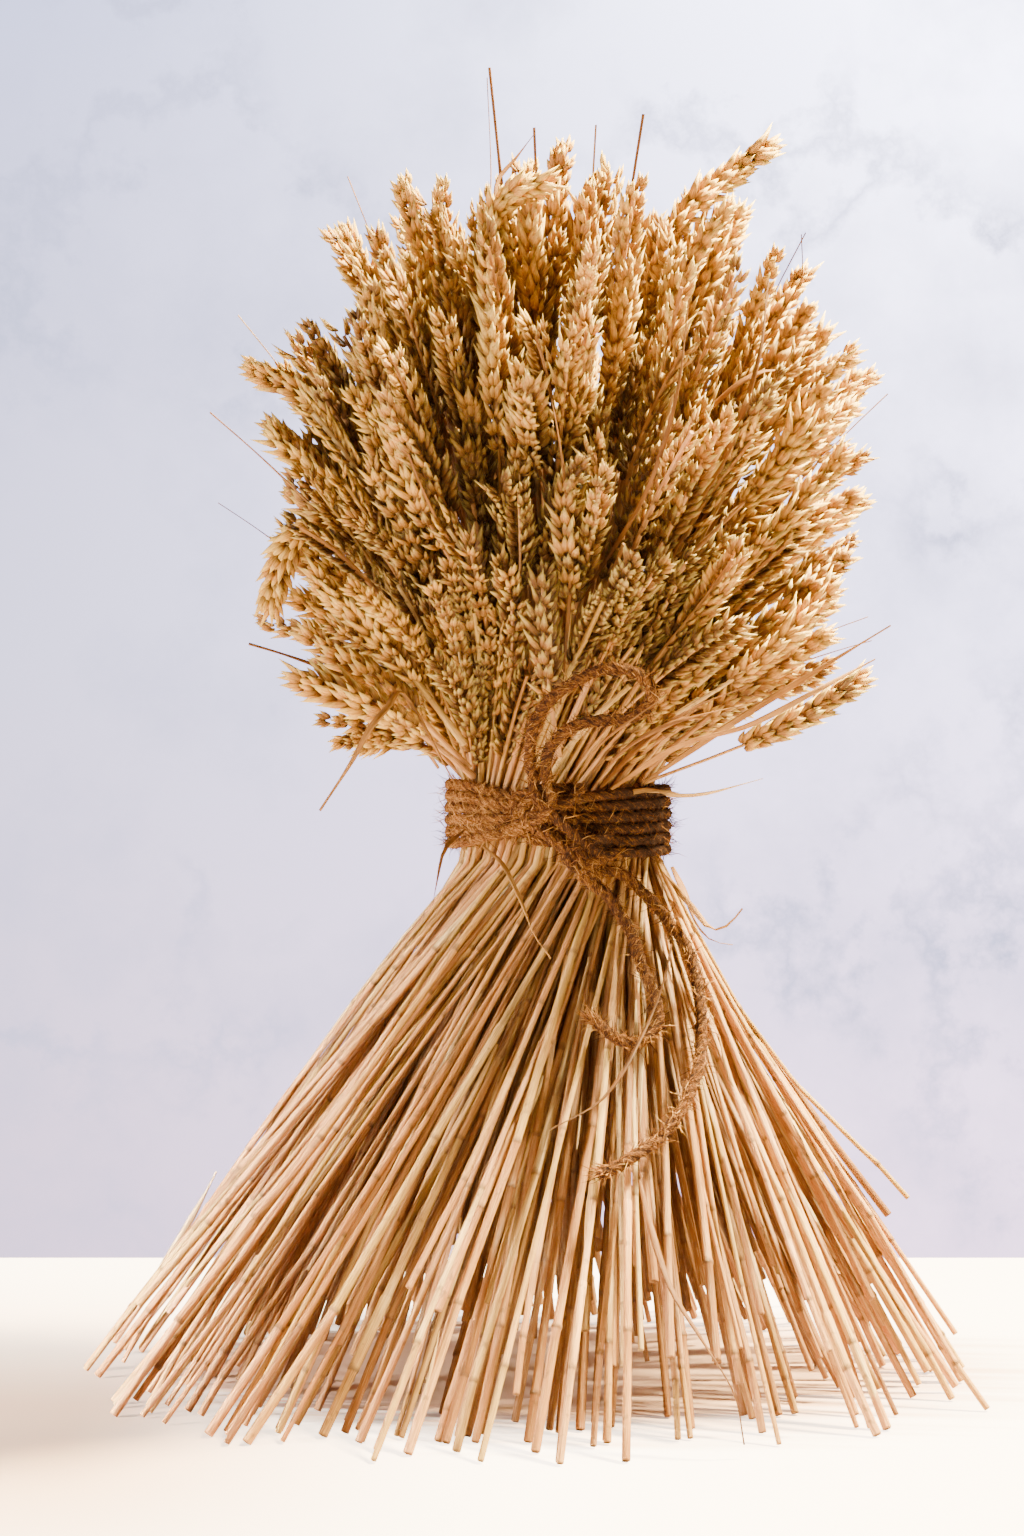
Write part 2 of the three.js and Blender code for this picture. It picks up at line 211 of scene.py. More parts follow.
def newTree(name, sizes):
    # A geometry tree with an input for each size or material, named as in the dictionary
    tree = bpy.data.node_groups.new(name, "GeometryNodeTree")
    tree.interface.new_socket("Geometry", in_out="INPUT", socket_type="NodeSocketGeometry")
    for key, value in sizes.items():
        kind = {int: "Int", float: "Float"}.get(type(value), "Material")
        made = tree.interface.new_socket(key, in_out="INPUT", socket_type="NodeSocket" + kind)
        made.default_value = value
    tree.interface.new_socket("Geometry", in_out="OUTPUT", socket_type="NodeSocketGeometry")
    net = Net(tree)
    return net, net.node("NodeGroupInput")


def addObject(name, data):
    made = bpy.data.objects.new(name, data)
    bpy.context.collection.objects.link(made)
    return made


def meshOf(name, points, edges, faces):
    mesh = bpy.data.meshes.new(name)
    mesh.from_pydata((np.asarray(points, float) * mm).tolist(), edges, faces)
    return mesh


def setLayer(mesh, name, values):
    layer = mesh.attributes.new(name, kindOf(name), "POINT")
    layer.data.foreach_set("vector" if name in directions else "value", np.array(values, float).ravel())


def growPiece(name, source, tree, values):
    # The tree's result on a source mesh, as a plain mesh on the body
    holder = addObject(name, source)
    modifier = holder.modifiers.new("grow", "NODES")
    modifier.node_group = tree
    for item in tree.interface.items_tree:
        if item.name in values:
            modifier[item.identifier] = values[item.name]
    depsgraph = bpy.context.evaluated_depsgraph_get()
    mesh = bpy.data.meshes.new_from_object(
        holder.evaluated_get(depsgraph), preserve_all_data_layers=True, depsgraph=depsgraph)
    holder.modifiers.remove(modifier)
    bpy.data.objects.remove(holder)
    bpy.data.meshes.remove(source)
    mesh.name = name
    piece = addObject(name, mesh)
    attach(piece, "root")
    return piece


# The camera stands where the photograph was taken from
cameraFacts = {"across": -9, "away": 1500, "height": 300, "lens": 70.3, "longSide": 36.0}


def makeCamera(facts):
    data = bpy.data.cameras.new("photoCamera")
    data.lens = facts["lens"]
    data.sensor_width = facts["longSide"]
    camera = addObject("photoCamera", data)
    camera.location = (facts["across"] * mm, -facts["away"] * mm, facts["height"] * mm)
    camera.rotation_euler = (math.radians(90), 0, 0)
    bpy.context.scene.camera = camera


makeCamera(cameraFacts)
print("camera set")


# Runs of points, for stems, ears, blades and rope


def unit(vector):
    return vector / np.maximum(np.linalg.norm(vector, axis=-1, keepdims=True), 1e-9)


def polar(radius, angle):
    return np.array([radius * math.cos(angle), radius * math.sin(angle)])


def lengthsOf(points):
    steps = np.linalg.norm(np.diff(points, axis=0), axis=1)
    return np.concatenate([[0.0], np.cumsum(steps)])


def headingsOf(points):
    return unit(np.gradient(points, axis=0))


def pointsAt(points, lengths, distances):
    return np.stack([np.interp(distances, lengths, points[:, k]) for k in range(3)], axis=1)


def smoothPath(route, spacing):
    # A centripetal Catmull-Rom curve through the route, then evenly spaced points
    route = np.asarray(route, float)
    padded = np.vstack([2 * route[0] - route[1], route, 2 * route[-1] - route[-2]])
    fine = []
    for k in range(1, len(padded) - 2):
        a, b, c, d = part = padded[k - 1:k + 3]
        steps = [math.sqrt(np.linalg.norm(q - p)) for p, q in zip(part, part[1:])]
        ta, tb, tc, td = np.cumsum([0.0, *steps])
        t = np.linspace(tb, tc, 16, endpoint=False)[:, None]

        def blend(one, other, start, end):
            return (end - t) / (end - start) * one + (t - start) / (end - start) * other

        ab, bc, cd = blend(a, b, ta, tb), blend(b, c, tb, tc), blend(c, d, tc, td)
        fine.append(blend(blend(ab, bc, ta, tc), blend(bc, cd, tb, td), tb, tc))
    fine = np.vstack([*fine, route[-1:]])
    lengths = lengthsOf(fine)
    count = max(int(round(lengths[-1] / spacing)), 2)
    return pointsAt(fine, lengths, np.linspace(0, lengths[-1], count + 1))


class Paths:
    def __init__(self):
        self.points = []
        self.edges = []
        self.facts = {name: [] for name in pathFacts}

    def add(self, points, **facts):
        first, count = len(self.points), len(points)
        self.points += list(points)
        self.edges += [(first + k, first + k + 1) for k in range(count - 1)]
        facts = {"heading": headingsOf(points), "along": lengthsOf(points) * mm, **facts}
        for name, run in self.facts.items():
            shape = (count, 3) if name in directions else count
            run.append(np.broadcast_to(facts.get(name, 0.0), shape))

    def mesh(self, name):
        mesh = meshOf(name, np.array(self.points) + waistPlace, self.edges, [])
        for key, runs in self.facts.items():
            setLayer(mesh, key, np.concatenate(runs))
        return mesh


# Materials

headMiddle = (0.014, 0.0, 0.459)  # in metres, as the materials see it


def newMaterial(name):
    material = bpy.data.materials.new(name)
    material.use_nodes = True
    return material, Net(material.node_tree)


def finish(net, colour, gloss, grain, rough, height, strength, depth):
    # Roughness follows the grain, and the bump has its height, strength and depth in metres
    normal = net.node("ShaderNodeBump", {}, {
        "Height": height, "Strength": strength, "Distance": depth}, "Normal")
    net.fill(net.tree.nodes["Principled BSDF"], {
        "Base Color": colour, "Specular IOR Level": gloss, "Normal": normal,
        "Roughness": net.remap(grain, 0.3, 0.7, *rough)})


def makeStemMaterial():
    material, net = newMaterial("stemStraw")
    fibre, place = net.fact("fibre"), net.place()
    streaks = net.noise(fibre, 4.0, 2.0, 0.6)
    lines = net.noise(fibre, 13.0, 2.0, 0.6)
    colour = net.ramp(
        net.fact("tone") + (net.noise(place, 30.0) - 0.5) * 0.3,
        (0.0, 0.26, 0.10, 0.03), (0.12, 0.49, 0.20, 0.055), (0.26, 0.72, 0.33, 0.11),
        (0.44, 0.84, 0.43, 0.20), (0.6, 0.80, 0.42, 0.14), (0.75, 0.62, 0.39, 0.10),
        (0.87, 0.84, 0.53, 0.19), (1.0, 0.90, 0.66, 0.33))
    # Painted shade: browner inside the cone of stems and inside the head
    apart = net.vector("MULTIPLY", net.vector("SUBTRACT", place, (0.014, 0.0, 0.0)), (1.0, 1.0, 0.0))
    rise = net.split(place)["Z"]
    inside = net.vector("LENGTH", apart)["Value"] / (0.225 - rise * 0.66)
    paintedShade = net.remap(inside, 0.93, 0.62) * net.remap(rise, 0.27, 0.24)
    deep = net.vector("DISTANCE", place, headMiddle)["Value"]
    paintedShade = net.math("MAXIMUM", paintedShade * 0.8, net.remap(deep, 0.125, 0.085) * 0.85)
    colour = net.mix(paintedShade, colour, (0.15, 0.055, 0.015))
    colour = net.stained(
        colour, (streaks, 0.52, 0.34, 0.55, (0.44, 0.21, 0.075)), (lines, 0.5, 0.36, 0.6, (0.27, 0.12, 0.04)),
        (lines, 0.55, 0.68, 0.4, (0.90, 0.62, 0.31)),
        (net.noise(place, 190.0, 3.0), 0.62, 0.70, 0.55, (0.20, 0.10, 0.045)))
    colour = net.mix(net.fact("knob"), colour, (0.16, 0.07, 0.025))
    finish(net, colour, 0.4, lines, (0.4, 0.62), lines + streaks * 0.6, 0.7, 0.0007)
    return material


def makeHuskMaterial():
    material, net = newMaterial("huskGold")
    tip, place = net.fact("tip"), net.place()
    ribs = net.noise(net.fact("fibre"), 2.6, 2.0, 0.6)
    # Painted shade and light: darker and browner inside the head, at its heart, low down and away from the
    # light, and painted paler at the top
    outer = net.remap(net.vector("DISTANCE", place, headMiddle)["Value"], 0.09, 0.145)
    rise = net.split(place)["Z"]
    flat = net.vector("MULTIPLY", place, (1.0, 0.0, 1.0))
    paintedLightAndShade = net.remap(rise, 0.51, 0.59) * 0.16 - net.remap(rise, 0.42, 0.35) * 0.17
    # Painted shade at the heart and low on the right, in the lee of the head, and painted light on one patch
    # up on the left
    for across, up, wide, narrow, change in [(0.009, 0.408, 0.10, 0.035, -0.40),
                                             (0.075, 0.40, 0.095, 0.04, -0.20),
                                             (-0.03, 0.484, 0.075, 0.03, 0.14)]:
        near = net.vector("DISTANCE", flat, (across, 0.0, up))["Value"]
        paintedLightAndShade = paintedLightAndShade + net.remap(near, wide, narrow) * change
    shade = (net.fact("tone") * 0.72 + 0.03 + (net.noise(place, 22.0) - 0.5) * 0.6
             + (net.noise(place, 150.0) - 0.5) * 0.5 + outer * 0.08 + paintedLightAndShade)
    golden = net.ramp(shade, (0.0, 0.13, 0.058, 0.024), (0.2, 0.35, 0.158, 0.055), (0.42, 0.61, 0.30, 0.09),
                      (0.62, 0.76, 0.39, 0.095), (0.82, 0.85, 0.48, 0.11), (1.0, 0.92, 0.61, 0.18))
    # Painted shade: each husk is dark at its base, where others overlap it, and deeper in the head most of it
    # is dark
    root = net.ramp(shade, (0.0, 0.030, 0.009, 0.003), (1.0, 0.15, 0.048, 0.009))
    colour = net.mix(net.remap(tip, 0.1, 0.55) * (0.16 + outer * 0.84), root, golden)
    # Dark and light ribs, and paler tips: the tips are partly the husk's own colour and partly a painted
    # highlight, stronger on the outer ears
    colour = net.stained(
        colour, (ribs, 0.52, 0.34, 0.55, (0.25, 0.09, 0.014)), (ribs, 0.54, 0.68, 0.35, (0.90, 0.58, 0.12)),
        (tip, 0.62, 1.0, 0.25 + outer * 0.6, (0.97, 0.72, 0.20)))
    finish(net, colour, 0.25, ribs, (0.3, 0.52), ribs, 0.8, 0.0007)
    return material


def makeLeafMaterial():
    material, net = newMaterial("leafDry")
    veins = net.noise(net.fact("fibre"), 7.0, 2.0, 0.65)
    colour = net.ramp(
        net.fact("tone") + (net.noise(net.place(), 60.0, 3.0) - 0.5) * 0.5,
        (0.0, 0.06, 0.022, 0.007), (0.3, 0.24, 0.095, 0.025), (0.6, 0.52, 0.26, 0.08),
        (0.85, 0.68, 0.43, 0.18), (1.0, 0.78, 0.58, 0.33))
    colour = net.stained(colour, (veins, 0.52, 0.34, 0.6, (0.20, 0.08, 0.022)))
    finish(net, colour, 0.25, veins, (0.45, 0.7), veins, 0.7, 0.0006)
    return material


def makeCoirMaterial(name, lightness):
    # The coir's colour follows its fibres, and painted shade makes it darkest in the grooves between the
    # strands
    material, net = newMaterial(name)
    place = net.place()
    strands = net.noise(net.fact("fibre"), 4.4, 3.0, 0.7)
    grit = net.noise(place, 700.0, 2.0, 0.7)
    groove = net.remap(net.fact("groove"), 0.75, 0.0)
    # Painted shade and light: where it is wound it is darker to the right of the knot, where the head shades
    # it, and lighter to the left
    across = net.split(place)
    wound = net.remap(net.math("ABSOLUTE", across["Z"] - 0.276), 0.024, 0.017)
    paintedLightAndShade = wound * (net.remap(across, 0.015, -0.02) * 0.26 - net.remap(across, 0.02, 0.05) * 0.34)
    shade = (paintedLightAndShade + (net.noise(place, 60.0) - 0.5) * 0.55 + (strands - 0.5) * 3.6 + (grit - 0.5) * 0.7
             + (net.fact("tone") - 0.5) * 1.1)
    colour = net.ramp(
        shade + (lightness - groove * 0.75),
        (0.0, 0.04, 0.012, 0.004), (0.25, 0.13, 0.042, 0.010), (0.5, 0.29, 0.10, 0.020),
        (0.75, 0.45, 0.185, 0.042), (1.0, 0.72, 0.38, 0.13))
    finish(net, colour, 0.25, grit, (0.75, 0.95), strands + grit * 0.4, 1.0, 0.0022)
    return material


stemStraw = makeStemMaterial()
huskGold = makeHuskMaterial()
leafDry = makeLeafMaterial()
coirRope = makeCoirMaterial("coirRope", 0.35)
coirFuzz = makeCoirMaterial("coirFuzz", 0.42)
print("materials made")


# The tie: windings, knot, bow loop and two tails
ropeFacts = {
    "turns": 6, "pitch": 5.85, "stepsPerTurn": 20, "centre": 275.5, "radius": 53.9,
    "knotAngle": -107, "pinch": 0.45, "pinchWidth": 0.5, "stepOut": 5,
    "thickness": 6.1, "windingThickness": 5.7, "spacing": 1.5,
}
# What the two trees of the rope take, in metres and per square metre
ropeSizes = {"Radius": 3.05 * mm, "Lay Length": 19 * mm, "Ring Spacing": 1.5 * mm, "Sides": 15,
             "Lobe Depth": 0.36, "Roughness": 1.0 * mm, "Rope Material": coirRope}
fuzzSizes = {"Density": 135000.0, "Seed": 3, "Fray From": 10.0, "Fray Length": 9 * mm,
             "Fibre Material": coirFuzz}
hairFacts = {"lengths": [5.0, 8.0, 6.5, 10.0], "curl": [0.9, -0.6, 1.5, 0.8], "thickness": 0.4}
tailShort = [
    (14, -60.5, 244.5), (22, -61, 240), (28, -62, 231), (34, -65, 221), (38, -71, 208), (42, -76, 198),
    (45, -80, 190), (46, -85, 182), (42, -91, 175), (35, -95, 171), (27, -97, 173), (20, -97, 178),
    (14, -95, 184),
]
tailLong = [
    (19.3, -60.4, 250.4), (27, -57.5, 250), (34, -54.5, 246), (40, -51.5, 240), (47, -49, 233),
    (53, -48, 225), (60, -48, 216), (64, -51, 207), (66, -58, 197), (67, -67, 187), (67, -75, 176),
    (66, -84, 166), (64, -93, 157), (60, -102, 149), (55, -111, 141), (48, -119, 133), (40, -127, 127),
    (31, -133, 122), (23, -137, 118), (16, -140, 116),
]
bowLoop = [
    (-12.8, -66.5, 293.1), (-14.2, -70, 300), (-14.5, -76, 309), (-13.5, -84, 318), (-9.5, -92, 327),
    (-3, -99, 334), (6, -105, 340), (17, -109, 345), (28, -110.5, 346), (37, -109, 342.5),
    (42, -105, 335.5), (40, -100, 328), (32, -96, 323.5), (21, -93, 322.5), (10, -90, 321), (1, -85, 316.5),
    (-5, -79, 309.5), (-7, -73, 301), (-6.2, -67.5, 293.3),
]
knotRuns = [
    [(6, -60, 290), (-3, -63.5, 289.5), (-13, -63.5, 289), (-21.5, -62, 284), (-19.5, -63.5, 276.5),
     (-8, -65.5, 271), (2, -66, 264.5), (11, -64.5, 258.5), (19, -61.5, 253.5)],
    [(-12, -66.5, 286), (-18, -65.5, 280.5), (-15, -67.5, 273.5), (-6, -69, 268), (2, -68, 261.5),
     (9, -66.5, 255.5), (16, -63, 249.5), (19, -60.5, 248)],
    [(-12.8, -66.5, 293), (-11, -69.5, 286), (-6, -71, 279.5), (1, -70.5, 273.5), (8, -67.5, 267),
     (15, -64, 261), (22, -60, 255)],
    [(-6.2, -67.5, 293.2), (-4, -70.5, 286), (-6, -72, 279), (-12, -69, 274), (-19, -63, 271.5),
     (-26, -56, 270)],
    [(10, -62, 291), (5, -66.5, 285), (-2, -69, 281.5), (-9, -68.5, 280), (-15, -66, 277), (-22, -61, 274)],
    [(24, -55, 266), (16, -62, 265.5), (8, -66.5, 263), (3, -68, 257.5), (9, -66, 251.5), (17, -62, 247)],
    [(28, -54, 259), (22, -60, 257), (15, -64.5, 254.5), (10, -65.5, 249.5), (16, -62, 244.5)],
]


def windingRoute(facts):
    route = []
    for i in range(facts["turns"] * facts["stepsPerTurn"] + 1):
        turn = i / facts["stepsPerTurn"]
        angle = math.radians(facts["knotAngle"]) + turn * 2 * math.pi
        off = math.pi - abs(math.pi - (turn % 1) * 2 * math.pi)
        near = math.exp(-((off / facts["pinchWidth"]) ** 2))
        spread = facts["pitch"] * (1 - facts["pinch"] * near)
        radius = facts["radius"] + (near * facts["stepOut"] if round(turn) % 2 else 0)
        route.append((*polar(radius, angle), facts["centre"] + (turn - facts["turns"] / 2) * spread))
    return route


def makeRopeTree():
    # Three strands laid up as one twisted three-lobed section, roughened along its skin
    net, entry = newTree("ropeOfThreeStrands", ropeSizes)
    curve = net.node("GeometryNodeMeshToCurve", {}, {"Mesh": entry})
    curve = net.node("GeometryNodeResampleCurve", {"mode": "LENGTH"}, {
        "Curve": curve, "Length": entry["Ring Spacing"]})
    along = net.node("GeometryNodeSplineParameter", out="Length")
    curve = net.node("GeometryNodeSetCurveTilt", {}, {
        "Curve": curve, "Tilt": along / entry["Lay Length"] * math.tau})
    curve = net.store(curve, "along", along)
    curve = net.store(curve, "heading", net.node("GeometryNodeInputTangent"))
    turn = net.node("GeometryNodeSplineParameter", out="Factor") * math.tau
    lobe = net.math("ABSOLUTE", net.math("COSINE", turn * 1.5)) ** 0.6
    position = net.node("GeometryNodeInputPosition")
    # The lobe's height, kept as groove, lets the coir's material paint shade into the grooves
    ring = net.store(net.ring(entry["Sides"]), "groove", lobe)
    ring = net.store(ring, "round", position)
    depth = entry["Lobe Depth"]
    ring = net.moved(ring, Position=net.scaled(position, (1 - depth) + lobe * depth))
    swell = entry["Radius"] * (0.86 + net.noise(position, 90.0) * 0.28)
    rope = net.grained(net.swept(curve, ring, swell), 1.6, 17, 160)
    lumps = (net.noise(position, 420.0, 2.0, 0.7) - 0.5) * entry["Roughness"] * 2
    rope = net.moved(rope, Offset=net.scaled(net.node("GeometryNodeInputNormal"), lumps))
    return net.close(net.solid(rope, entry["Rope Material"]))


def makeFuzzTree(hairs):
    # Loose coir fibres that lean out of the strands, and fray along the rope at its free end
    net, entry = newTree("looseCoirFibres", fuzzSizes)
    fray = net.remap(net.fact("along"), entry["Fray From"], entry["Fray From"] + entry["Fray Length"])
    spots = net.node("GeometryNodeDistributePointsOnFaces", {"distribute_method": "RANDOM"}, {
        "Mesh": entry, "Density": entry["Density"] * (1 + fray * 3), "Seed": entry["Seed"]})
    normal = spots["Normal"]
    lean = net.random((-1.0, -1.0, -1.0), (1.0, 1.0, 1.0), 21)
    side = net.vector("NORMALIZE", net.vector("CROSS_PRODUCT", normal, lean))
    side = net.vector("ADD", side, net.scaled(net.fact("heading"), fray * 2.5))
    outward = net.scaled(normal, net.random(0.0, 1.0, 22) ** 2 * 1.1 + 0.05)
    size = net.random(0.4, 1.25, 24)
    fibres = net.planted(spots, hairs, net.vector("ADD", side, outward), normal, size, 23)
    fibres = net.store(fibres, "tone", net.random(0.0, 1.0, 25), "INSTANCE")
    # Loose fibres get none of the painted shade of the grooves
    return net.close(net.store(net.solid(fibres, entry["Fibre Material"]), "groove", 1.0))


def makeHairs(facts):
    # Curved fibres with three sides, thinner towards the tip
    hairs = []
    for k, (length, curl) in enumerate(zip(facts["lengths"], facts["curl"])):
        points = []
        for share in (0.0, 0.5):
            bend = curl * share * share * length * 0.5
            radius = facts["thickness"] / 2 * (1 - 0.4 * share)
            for side in range(3):
                x, y = polar(radius, side * math.tau / 3)
                points.append((bend + x, y, length * share))
        points.append((curl * length * 0.42, length * 0.1 * curl, length * 0.88))
        faces = [(0, 2, 1)]
        for a, b in ((0, 1), (1, 2), (2, 0)):
            faces += [(a, b, b + 3, a + 3), (3 + a, 3 + b, 6)]
        hairs.append(addObject(f"hair{k}", meshOf(f"hair{k}", points, [], faces)))
    return hairs


def makeRope(name, routes, trees, fuzziness, radius=ropeSizes["Radius"], frayed=False):
    ropeTree, fuzzTree = trees
    lines = [smoothPath(route, ropeFacts["spacing"]) for route in routes]
    paths = Paths()
    for k, line in enumerate(lines):
        paths.add(line, tone=0.5 + 0.13 * math.sin(k * 2.4))
    rope = growPiece(name, paths.mesh(name), ropeTree, {**ropeSizes, "Radius": radius})
    values = {**fuzzSizes, "Density": fuzzSizes["Density"] * fuzziness}
    if frayed:
        values["Fray From"] = lengthsOf(lines[0])[-1] * mm - values["Fray Length"]
    fuzz = growPiece(name + "_fibres", rope.data.copy(), fuzzTree, values)
    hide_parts("tie_" + name)
    return rope, fuzz, lines[0] + waistPlace


def makeTies(facts):
    hairs = makeHairs(hairFacts)
    trees = makeRopeTree(), makeFuzzTree(hairs)
    makeRope("winding", [windingRoute(facts)], trees, 0.8, facts["windingThickness"] / 2 * mm)
    makeRope("knot", knotRuns, trees, 0.8)
    for name, route, end, stiffness in [("tail_short", tailShort, "bare", "limp"),
                                        ("tail_long", tailLong, "bare", "limp"),
                                        ("bow_loop", bowLoop, "object", "medium")]:
        cord, fuzz, line = makeRope(name, [route], trees, 1.5, frayed=end == "bare")
        (line[0] * mm).tolist()
        (line * mm).tolist()
    for hair in hairs:
        bpy.data.objects.remove(hair)


makeTies(ropeFacts)
print("ties made")


# Where the stalks run, by the same rule as in the CAD
sheafFacts = {
    "clumps": 40, "stalksPerClump": 3, "seed": 10, "firstAngle": 195,
    "ropeBottom": 258, "ropeTop": 291, "clumpSpread": 43.5, "edge": 40,
    "pinchedOffset": 3.2, "looseOffset": 4.9, "looseRadius": 46.6,
    "footReach": (231, 217), "footShift": -13.5, "footTurn": -50, "shortFoot": (5, 52),
    "innerShare": 0.6, "floorShare": 0.8,
    "headHeight": 459, "headRadius": 149, "headSkirt": 26, "skirtAngles": (112, 134), "headTurn": 35,
    "headEdge": (127, 9), "leaveOutward": 0.35, "leaveSideways": 0.6, "outwardBend": 0.3,
    "layerDepth": (0, 20, 42), "innerDepth": 0.75, "outerDepth": 0.75,
    # how much a stalk strays: foot in millimetres, turn and head in degrees, reach in millimetres
    "strayCad": (5, 0, 2, 6), "strayEar": (8, 7, 6, 7), "strayStem": (13, 20, 6, 7),
    "earFills": 194, "stemFills": 260, "fillSeed": 17, "candidates": 8, "fillSpread": 0.43,
    "fillDepth": 62, "depthSpread": 1.15, "nod": 18,
    # dark hollows in the front of the head: across, up, half their width and height, extra depth
    "hollows": [(-8, 468, 9, 34, 52), (2, 390, 13, 30, 55), (38, 400, 12, 24, 46), (-70, 410, 9, 26, 40)],
    "leftBulge": 6, "bulge": 1.5, "fillFloorShare": 0.84, "rightLift": 0.45, "fillReach": (0.92, 1.02),
    "fillShort": (20, 80),
}


class Draws:
    # The same draws on every run
    def __init__(self, seed):
        self.state = seed

    def one(self):
        self.state = (self.state * 1664525 + 1013904223) % 4294967296
        return self.state / 4294967296

    def between(self, low, high):
        return low + (high - low) * self.one()


def angleOf(place):
    return math.atan2(place[1], place[0]) % math.tau


def smoothStep(x, low, high):
    x = min(max((x - low) / (high - low), 0), 1)
    return x * x * (3 - 2 * x)


def spiral(facts):
    # The clumps' places in the waist
    golden = math.pi * (3 - math.sqrt(5))
    count = facts["clumps"]
    return [polar(facts["clumpSpread"] * math.sqrt((i + 0.5) / (count - 0.5)),
                  i * golden + math.radians(facts["firstAngle"])) for i in range(count)]


clumpPlaces = spiral(sheafFacts)


def nearestClump(place):
    return int(np.argmin([np.linalg.norm(centre - place) for centre in clumpPlaces]))


def outerClump(place):
    # The clump at the edge on the side of a place
    return nearestClump(unit(np.array(place[:2])) * sheafFacts["edge"])


def headEdge(azimuth):
    middle, swing = sheafFacts["headEdge"]
    return math.radians(middle + swing * math.cos(2 * azimuth))


def curveTo(tip, share, waist):
    # From the top of the rope to the tip of an ear or a leaf
    facts = sheafFacts
    start = np.array([*waist, facts["ropeTop"]])
    span = np.linalg.norm(tip - start)
    side = math.atan2(waist[1], waist[0])
    out, across = facts["leaveOutward"], facts["leaveSideways"]
    leave = np.array([math.cos(side) * out - math.sin(side) * across,
                      math.sin(side) * out + math.cos(side) * across, 0]) * share
    leave = unit(leave + upward)
    arrive = unit(tip - np.array([waist[0] * 0.6, waist[1] * 0.6, facts["ropeTop"]]))
    arrive = unit(arrive + unit(tip - upward * facts["headHeight"]) * facts["outwardBend"])
    t = np.linspace(0, 1, 40)[:, None]
    return ((1 - t) ** 3 * start + 3 * (1 - t) ** 2 * t * (start + leave * span * 0.3)
            + 3 * (1 - t) * t * t * (tip - arrive * span * 0.45) + t ** 3 * tip)


def newStalk(loose, waist, clump, draws, depth, stray, filling=True):
    # A stalk by its place before the rope pinches it, its place in the rope and how far it strays
    facts = sheafFacts
    footStray, turnStray, headStray, reachStray = stray
    share = np.linalg.norm(loose) / facts["looseRadius"]
    turn = facts["footTurn"] + (draws.between(-turnStray, turnStray) if filling else 0)
    foot = polar(share, angleOf(loose) + math.radians(turn)) * facts["footReach"]
    if filling:
        foot = foot * draws.between(*facts["fillReach"])
    foot = foot + [facts["footShift"] + draws.between(-footStray, footStray),
                   draws.between(-footStray, footStray)]
    short = draws.between(*facts["fillShort" if filling else "shortFoot"])
    floorShare = facts["floorShare"]
    if filling:
        floorShare = facts["fillFloorShare"] - facts["rightLift"] * smoothStep(foot[0], -30, 50)
    height = 0 if draws.one() < floorShare and share > facts["innerShare"] else short

    reach = facts["headRadius"] + draws.between(-reachStray, reachStray)
    azimuth = angleOf(loose) + math.radians(facts["headTurn"] + draws.between(-headStray, headStray))
    curveShare = min(share, 1.02)
    low = math.acos(1 - curveShare * curveShare * (1 - math.cos(headEdge(azimuth))))
    low += math.radians(draws.between(-headStray, headStray))
    reach += facts["headSkirt"] * smoothStep(low, *[math.radians(angle) for angle in facts["skirtAngles"]])
    tip = np.array([reach * math.sin(low) * math.cos(azimuth), reach * math.sin(low) * math.sin(azimuth),
                    reach * math.cos(low) + facts["headHeight"]])
    hidden = False
    for across, up, halfWidth, halfHeight, extra in facts["hollows"]:
        near = ((tip[0] - across) / halfWidth) ** 2 + ((tip[2] - 20 - up) / halfHeight) ** 2
        if tip[1] < -40 and near < 1:
            depth += extra
            hidden = True
    return {"clump": clump, "waist": waist, "foot": foot, "height": height, "share": share, "loose": loose,
            "upper": curveTo(tip, curveShare, waist), "roll": draws.between(0, math.pi), "hidden": hidden,
            "depth": depth * (facts["innerDepth"] + facts["outerDepth"] * share ** 2)}


def cadStalks(facts):
    draws = Draws(facts["seed"])
    stalks = []
    for clump, centre in enumerate(clumpPlaces):
        for place in range(facts["stalksPerClump"]):
            around = angleOf(centre) + place * math.tau / facts["stalksPerClump"] + 0.5
            loose, waist = [centre + polar(facts[key], around) for key in ("looseOffset", "pinchedOffset")]
            stalk = newStalk(loose, waist, clump, draws, facts["layerDepth"][place], facts["strayCad"], False)
            stalks.append({**stalk, "ear": True})
    return stalks


def fillIns(facts, stalks):
    # More stalks, each where the last ones left the most room, some of them without an ear
    draws = Draws(facts["fillSeed"])
    taken = [stalk["loose"] for stalk in stalks]
    more = []
    for k in range(facts["earFills"] + facts["stemFills"]):
        best, room = None, -1.0
        for _ in range(facts["candidates"]):
            place = polar(facts["looseRadius"] * draws.one() ** facts["fillSpread"],
                          draws.between(0, math.tau))
            apart = float(np.min(np.linalg.norm(np.array(taken) - place, axis=1)))
            if apart > room:
                best, room = place, apart
        taken.append(best)
        ear = k < facts["earFills"]
        depth = facts["fillDepth"] * draws.one() ** facts["depthSpread"]
        stray = facts["strayEar" if ear else "strayStem"]
        stalk = newStalk(best, best, nearestClump(best), draws, depth, stray)
        more.append({**stalk, "ear": ear and not stalk["hidden"]})
    return more


